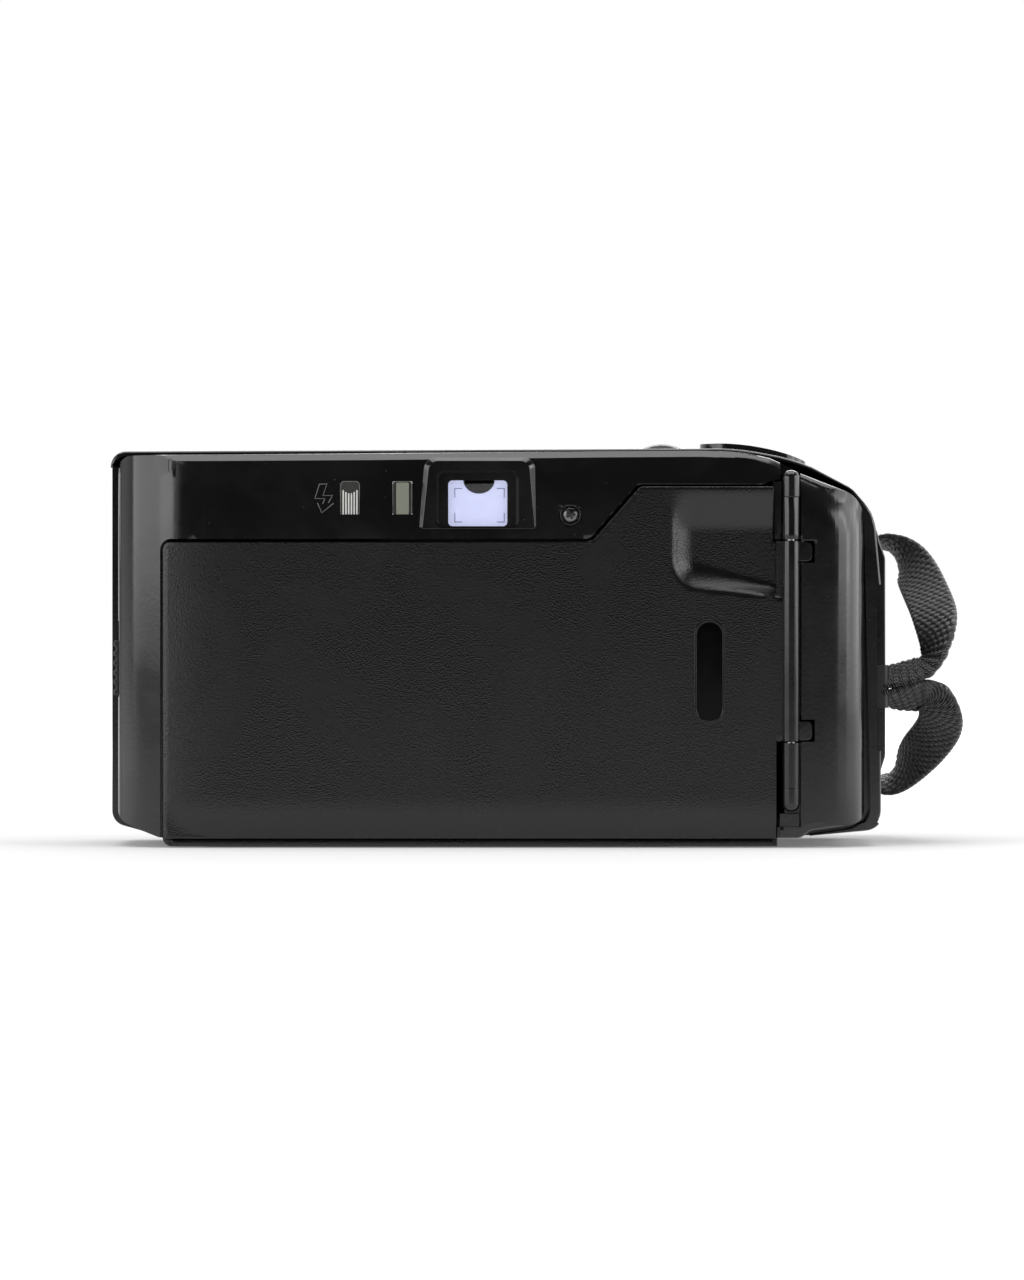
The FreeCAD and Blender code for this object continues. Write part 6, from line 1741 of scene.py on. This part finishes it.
    def make_screw(self, bench: Bench) -> None:
        """Makes the cross-head screw in its well.

        Args:
            bench: the modelling steps.
        """
        low, high = span("rear_screw")
        x, z = (low.x + high.x) / 2, (low.z + high.z) / 2
        radius = (high.x - low.x) / 2
        head = bench.turned("cross_head_screw", (x, low.y, z), Axis.Y, [
            (0, 0.02), (radius * 0.55, 0.08), (radius * 0.9, 0.24), (radius, 0.42), (radius, 0.78),
            (0.7, 0.78), (0.7, high.y - low.y), (0, high.y - low.y)])
        for name, wide, tall in (("cross_slot", 0.34, 1.5), ("cross_bar", 1.5, 0.34)):
            tool = bench.box(name, (x - wide / 2, low.y - 1, z - tall / 2),
                             (x + wide / 2, low.y + 0.6, z + tall / 2))
            with bench.shaping(tool):
                bpy.ops.transform.rotate(value=math.radians(28), orient_axis="Y",
                                         center_override=(x * MM, low.y * MM, z * MM))
            bench.cut(head, tool)
        bench.bevel(head, 0.05, 1, 40)
        bench.settle(head, "camera", Look.DARK_STEEL, ["rear_screw"])
        ring = [(1.62 + 0.09 * math.cos(a), 0.09 * math.sin(a)) for a in np.linspace(0, 2 * math.pi, 11)]
        rim = bench.turned("screw_well_rim", (x, REAR + 0.03, z), Axis.Y, ring)
        bench.settle(rim, "camera", Look.GLOSS, angle=None)


@dataclass
class Finder:
    """The viewfinder's hood, its clear window with frame marks, and the two lamp windows."""

    foot: Flat = (-13.37, 6.2)
    head: Flat = (-12.4, 6.03)
    face_foot: Flat = (-12.8, 6.0)
    face_head: Flat = (-11.6, 5.0)
    low: float = 53.2
    high: float = 65.1
    face_high: float = 64.5
    face_proud: float = 0.62
    well_low: Flat = (-10.55, 53.3)
    well_high: Flat = (3.3, 62.9)
    well_floor_low: Flat = (-10.1, 53.45)
    well_floor_high: Flat = (2.85, 62.5)
    window_low: Flat = (-8.47, 53.65)
    window_high: Flat = (1.38, 61.3)
    pane_low: Flat = (-8.9, 53.4)
    pane_high: Flat = (1.8, 61.6)
    field_low: Flat = (-8.85, 53.45)
    field_high: Flat = (1.75, 61.55)
    marks_deep: float = 1.7
    mark_wide: float = 0.15
    mark_long: float = 1.6
    lamp_low: float = 55.3
    lamp_high: float = 61.17
    ribs: int = 6

    def build(self, bench: Bench) -> None:
        """Makes the finder's pieces.

        Args:
            bench: the modelling steps.
        """
        self.make_hood(bench)
        pane = bench.plate("eyepiece_pane", oblong(self.pane_low, self.pane_high, 0.8),
                           REAR + 0.9, REAR + 1.6)
        bench.settle(bench.bevel(pane, 0.1, 2), "camera", Look.EYEPIECE, ["eyepiece_lens"])
        self.make_marks(bench)
        self.make_lamps(bench)

    def make_hood(self, bench: Bench) -> None:
        """Makes the hood: a raised frame with sloping sides round a deep rectangular well.

        Args:
            bench: the modelling steps.
        """
        def ring(foot: Flat, head: Flat, top: float, radius: float) -> list[Flat]:
            """Outline of the hood at one depth."""
            return rounded_outline([(foot[0], self.low, 0.3), (foot[1], self.low, 0.3),
                                    (head[1], top, radius), (head[0], top, radius)])

        face = REAR - self.face_proud
        hood = bench.loft("finder_hood", [
            (ring(self.face_foot, self.face_head, self.face_high, 1.7), face),
            (ring(self.foot, self.head, self.high, 1.9), REAR + 0.12),
            (ring(self.foot, self.head, self.high - 0.9, 1.9), REAR + 2.2)])
        bench.bevel(hood, 0.16, 3, 20)
        mouth = oblong(self.well_low, self.well_high, 1.3)
        floor = oblong(self.well_floor_low, self.well_floor_high, 1.1)
        well = bench.loft("well_tool", [(mouth, face - 1), (mouth, face + 0.12), (floor, face + 1.1)])
        bench.cut(hood, well)
        window = oblong(self.window_low, self.window_high, 0.7)
        bench.cut(hood, bench.plate("window_tool", window, REAR - 3, REAR + 4))
        bench.bevel(hood, 0.07, 2, 40)
        bench.settle(hood, "camera", Look.GLOSS, ["eyepiece_frame"], angle=28.0)

    def make_marks(self, bench: Bench) -> None:
        """Makes the glowing field, painted light that stands for the view through the finder, and the
        corner marks, the dark half round and the visor in the window.

        Args:
            bench: the modelling steps.
        """
        y = REAR + self.marks_deep
        # Painted light: this plate glows to stand for the lit view through the finder.
        bright = bench.plate("painted_finder_view", oblong(self.field_low, self.field_high, 0.7),
                             y + 0.18, y + 0.26)
        bench.settle(bright, "camera", Look.FIELD)
        marks = []
        for x, turn_x in ((-7.46, 1), (0.95, -1)):
            for z, turn_z in ((54.3, 1), (60.05, -1)):
                for name, wide, tall in (("mark_flat", self.mark_long * 0.8, self.mark_wide),
                                         ("mark_post", self.mark_wide, self.mark_long)):
                    ends_x = sorted((x, x + turn_x * wide))
                    ends_z = sorted((z, z + turn_z * tall))
                    marks.append(bench.box(name, (ends_x[0], y, ends_z[0]),
                                           (ends_x[1], y + 0.05, ends_z[1])))
        frame_marks = bench.join("finder_frame_marks", *marks)
        bench.settle(frame_marks, "camera", Look.FAINT_MARK)
        arc = [(-3.34 + 2.62 * math.cos(a), 61.4 + 2.3 * math.sin(a))
               for a in np.linspace(math.pi, 2 * math.pi, 25)]
        shade = bench.plate("finder_shade", arc, y - 0.02, y + 0.12)
        bench.settle(shade, "camera", Look.INSIDE)
        visor = bench.plate("finder_visor", oblong((-5.75, 60.75), (-0.95, 61.5), 0.2), y - 0.1, y + 0.05)
        bench.settle(visor, "camera", Look.VISOR)

    def make_lamps(self, bench: Bench) -> None:
        """Makes the ribbed clear lamp window and the plain grey-green one, both set on near-black lens
        plastic that is painted shade.

        Args:
            bench: the modelling steps.
        """
        low, high, face = self.lamp_low, self.lamp_high, REAR + 0.14
        for node, name, left, right in (("flash_ready_lens", "flash_lamp", -26.45, -23.2),
                                        ("focus_lamp_lens", "focus_lamp", -17.75, -14.45)):
            ring = bench.plate(name + "_frame", oblong((left, low), (right, high), 0.65), face, face + 0.8)
            inner = oblong((left + 0.16, low + 0.16), (right - 0.16, high - 0.16), 0.52)
            bench.cut(ring, bench.plate("lamp_tool", inner, face - 1, face + 2))
            bench.settle(bench.bevel(ring, 0.05, 2), "camera", Look.LAMP_EDGE)
            # Painted shade: the near-black lens fills each window between and above the ribs and round the
            # green core.
            lens = bench.plate(name, inner, face + 0.12, span(node)[1].y)
            bench.settle(bench.bevel(lens, 0.05, 2), "camera", Look.LAMP_DARK, [node])
        pitch = 2.75 / self.ribs
        for i in range(self.ribs):
            x = -26.2 + pitch * (i + 0.5)
            tall = 4.15 - 0.55 * math.sin(math.pi * i / (self.ribs - 1))
            rib = bench.rod("flash_lamp_rib_%d" % (i + 1), (x, face + 0.16, low + 0.22), Axis.UP,
                            pitch * 0.3, tall, 16)
            bench.settle(bench.bevel(rib, 0.06, 1), "camera", Look.LAMP_CLEAR)
        core = bench.plate("focus_lamp_core", oblong((-17.12, low + 0.22), (-15.02, high - 0.22), 0.25),
                           face + 0.05, face + 0.6)
        bench.settle(bench.bevel(core, 0.12, 3), "camera", Look.LAMP_GREEN)


@dataclass
class TopControls:
    """The release button, the counter window with its dial, and the self-timer button."""

    figures: Sequence[str] = ("S", "6", "12", "18", "24", "30", "36")
    figure_size: float = 1.5
    figure_radius: float = 2.9

    def build(self, bench: Bench) -> None:
        """Makes the pieces on top.

        Args:
            bench: the modelling steps.
        """
        button = bench.refined("shutter_button", "release_button_cap", 0.7, 4)
        bench.settle(button, "release_button", Look.GLOSS, angle=50.0)
        timer = bench.refined("self_timer_button", "timer_button_cap", 0.25, 3)
        bench.settle(timer, "timer_button", Look.SOFT)
        low, high = span("counter_window")
        x, y = (low.x + high.x) / 2, (low.y + high.y) / 2
        radius = (high.x - low.x) / 2
        collar = bench.turned("counter_collar", (x, y, low.z + 1.5), Axis.UP, [
            (radius - 0.75, -0.1), (radius, -0.1), (radius, 0.35), (radius - 0.2, 0.55),
            (radius - 0.6, 0.5), (radius - 0.75, 0.3), (radius - 0.75, -0.1)])
        bench.settle(collar, "camera", Look.GLOSS)
        dome = bench.copy_of("counter_window", "counter_dome")
        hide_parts("counter_window")
        bench.settle(dome, "camera", Look.DOME, angle=60.0)
        self.make_figures(bench)

    def make_figures(self, bench: Bench) -> None:
        """Makes the frame numbers on the dial.

        Args:
            bench: the modelling steps.
        """
        low, high = span("counter_dial")
        x, y = (low.x + high.x) / 2, (low.y + high.y) / 2
        made = []
        for i, figure in enumerate(self.figures):
            angle = math.radians(-90 + 45 * i)
            bpy.ops.object.select_all(action="DESELECT")
            bpy.ops.object.text_add(location=(0, 0, 0))
            text = bpy.context.object
            text.data.body = figure
            text.data.size = self.figure_size * MM
            text.data.align_x, text.data.align_y = "CENTER", "CENTER"
            text.data.extrude = 0.02 * MM
            bpy.ops.object.convert(target="MESH")
            mark = bpy.context.object
            mark.location = Vector((x + self.figure_radius * math.cos(angle),
                                    y + self.figure_radius * math.sin(angle), high.z + 0.03)) * MM
            mark.rotation_euler = (0, 0, angle + math.pi / 2)
            made.append(bench.place("dial_figure_%d" % i))
        figures = bench.join("dial_figures", *made)
        bench.settle(figures, "counter", Look.WHITE_PRINT, angle=20.0)


@dataclass
class Optics:
    """The lens ring, the lens cell and its glass, and the flash."""

    grooves: int = 4
    groove_rise: float = 0.3
    mouth: float = 7.05
    glass_bulge: float = 0.9
    glass_fall: float = 0.46
    ribs: int = 14
    rib_margin: float = 0.5

    def build(self, bench: Bench) -> None:
        """Makes the pieces on the front.

        Args:
            bench: the modelling steps.
        """
        bezel = bench.refined("lens_bezel", "lens_ring", 0.3, 3, 28.0)
        bench.settle(bezel, "camera", Look.SOFT, angle=40.0)
        cell_low, cell_high = span("lens_cell")
        radius = (cell_high.x - cell_low.x) / 2
        steps = [(self.mouth, -1.4)]
        for i in range(self.grooves):
            inner, rise = 7.2 + i * (radius - 8.2) / self.grooves, i * self.groove_rise
            steps += [(inner, -1.3 + rise), (inner + 0.1, -1.0 + rise)]
        steps += [(radius - 0.5, 0.02), (radius - 0.06, -0.2), (radius - 0.06, -1.6),
                  (self.mouth, -1.6), (self.mouth, -1.4)]
        ring = bench.turned("stepped_ring", (0, cell_high.y - 0.03, LENS_Z), Axis.Y, steps, 96)
        bench.settle(ring, "cell", Look.SOFT)
        glass_low, glass_high = span("front_element")
        glass_r = (glass_high.x - glass_low.x) / 2
        thick = glass_high.y - glass_low.y
        crown = [(0.99 * glass_r * math.sin(a),
                  max(0.2, thick - self.glass_bulge * (1 - math.cos(a)) / self.glass_fall))
                 for a in np.linspace(0, math.pi / 2, 14)]
        front = bench.turned("front_glass", (0, glass_low.y, LENS_Z), Axis.Y,
                             [(0, 0.0), (glass_r - 0.05, 0.0)] + crown[::-1], 96)
        bench.settle(front, "cell", Look.COATED, ["front_element"])
        self.make_flash(bench)

    def make_flash(self, bench: Bench) -> None:
        """Makes the ribbed flash window.

        Args:
            bench: the modelling steps.
        """
        low, high = span("flash_window")
        outline = oblong((low.x, low.z), (high.x, high.z), 0.5)
        pane = bench.plate("flash_pane", outline, high.y - 1.5, high.y - 0.35)
        bench.settle(bench.bevel(pane, 0.1), "camera", Look.DIFFUSER, ["flash_window"])
        pitch = (high.x - low.x - 2 * self.rib_margin) / self.ribs
        for i in range(self.ribs):
            x = low.x + self.rib_margin + pitch * (i + 0.5)
            rib = bench.rod("flash_rib_%d" % (i + 1), (x, high.y - 0.55, low.z + 0.4), Axis.UP,
                            min(pitch * 0.48, 0.5), high.z - low.z - 0.8, 16)
            bench.settle(rib, "camera", Look.DIFFUSER)


@dataclass
class Underside:
    """The base plate, its screws, the tripod bush, the battery door and the side latch."""

    head_radius: float = 1.35
    shank_radius: float = 0.7
    screw_tall: float = 4.4
    slot: Flat = (1.5, 0.32)

    def build(self, bench: Bench) -> None:
        """Makes the pieces underneath and at the side.

        Args:
            bench: the modelling steps.
        """
        plate = bench.refined("base_plate", "base_moulding", 0.25, 2)
        bench.settle(plate, "camera", Look.SOFT)
        hatch = bench.refined("battery_door", "battery_hatch", 0.25, 2)
        bench.settle(hatch, "hatch", Look.SOFT)
        latch = bench.refined("door_latch", "latch_slider", 0.18, 2)
        bench.bend(latch, lambda place: (0.4 if place.x < -64.0 else 0.0, 0.0, 0.0))
        bench.settle(latch, "latch", Look.SOFT)
        socket = bench.refined("tripod_socket", "tripod_bush", 0.2, 2)
        bench.settle(socket, "camera", Look.ALLOY)
        key = bench.refined("rewind_button", "rewind_button_cap", 0.15, 2)
        bench.settle(key, "rewind_key", Look.GREY)
        self.make_screws(bench)

    def make_screws(self, bench: Bench) -> None:
        """Makes the base screws with their cross slots.

        Args:
            bench: the modelling steps.
        """
        low, high = span("base_screws")
        head_r, shank_r, tall = self.head_radius, self.shank_radius, self.screw_tall
        profile = [(0, 0), (1.1, 0), (head_r, 0.15), (head_r, 0.55), (shank_r, 0.55), (shank_r, tall),
                   (0, tall)]
        made = []
        for x in (low.x + head_r, high.x - head_r):
            for y in (low.y + head_r, high.y - head_r):
                head = bench.turned("base_screw", (x, y, low.z), Axis.UP, profile, 40)
                for wide, deep in (self.slot, self.slot[::-1]):
                    tool = bench.box("cross_tool", (x - wide / 2, y - deep / 2, low.z - 1),
                                     (x + wide / 2, y + deep / 2, low.z + 0.3))
                    bench.cut(head, tool)
                made.append(head)
        screws = bench.join("base_screw_set", *made)
        bench.settle(bench.bevel(screws, 0.04, 1, 40), "camera", Look.STEEL, ["base_screws"])


def main() -> None:
    """Builds the scene."""
    logging.basicConfig(level=logging.INFO, format="%(message)s")
    paint = Paint()
    paint.dress_nodes()
    bench = Bench(paint)
    studio = Studio()
    studio.build()
    for assembly in (Strap(), FilmDoor(), Covers(), Finder(), TopControls(), Optics(), Underside()):
        assembly.build(bench)


if __name__ == "__main__":
    main()
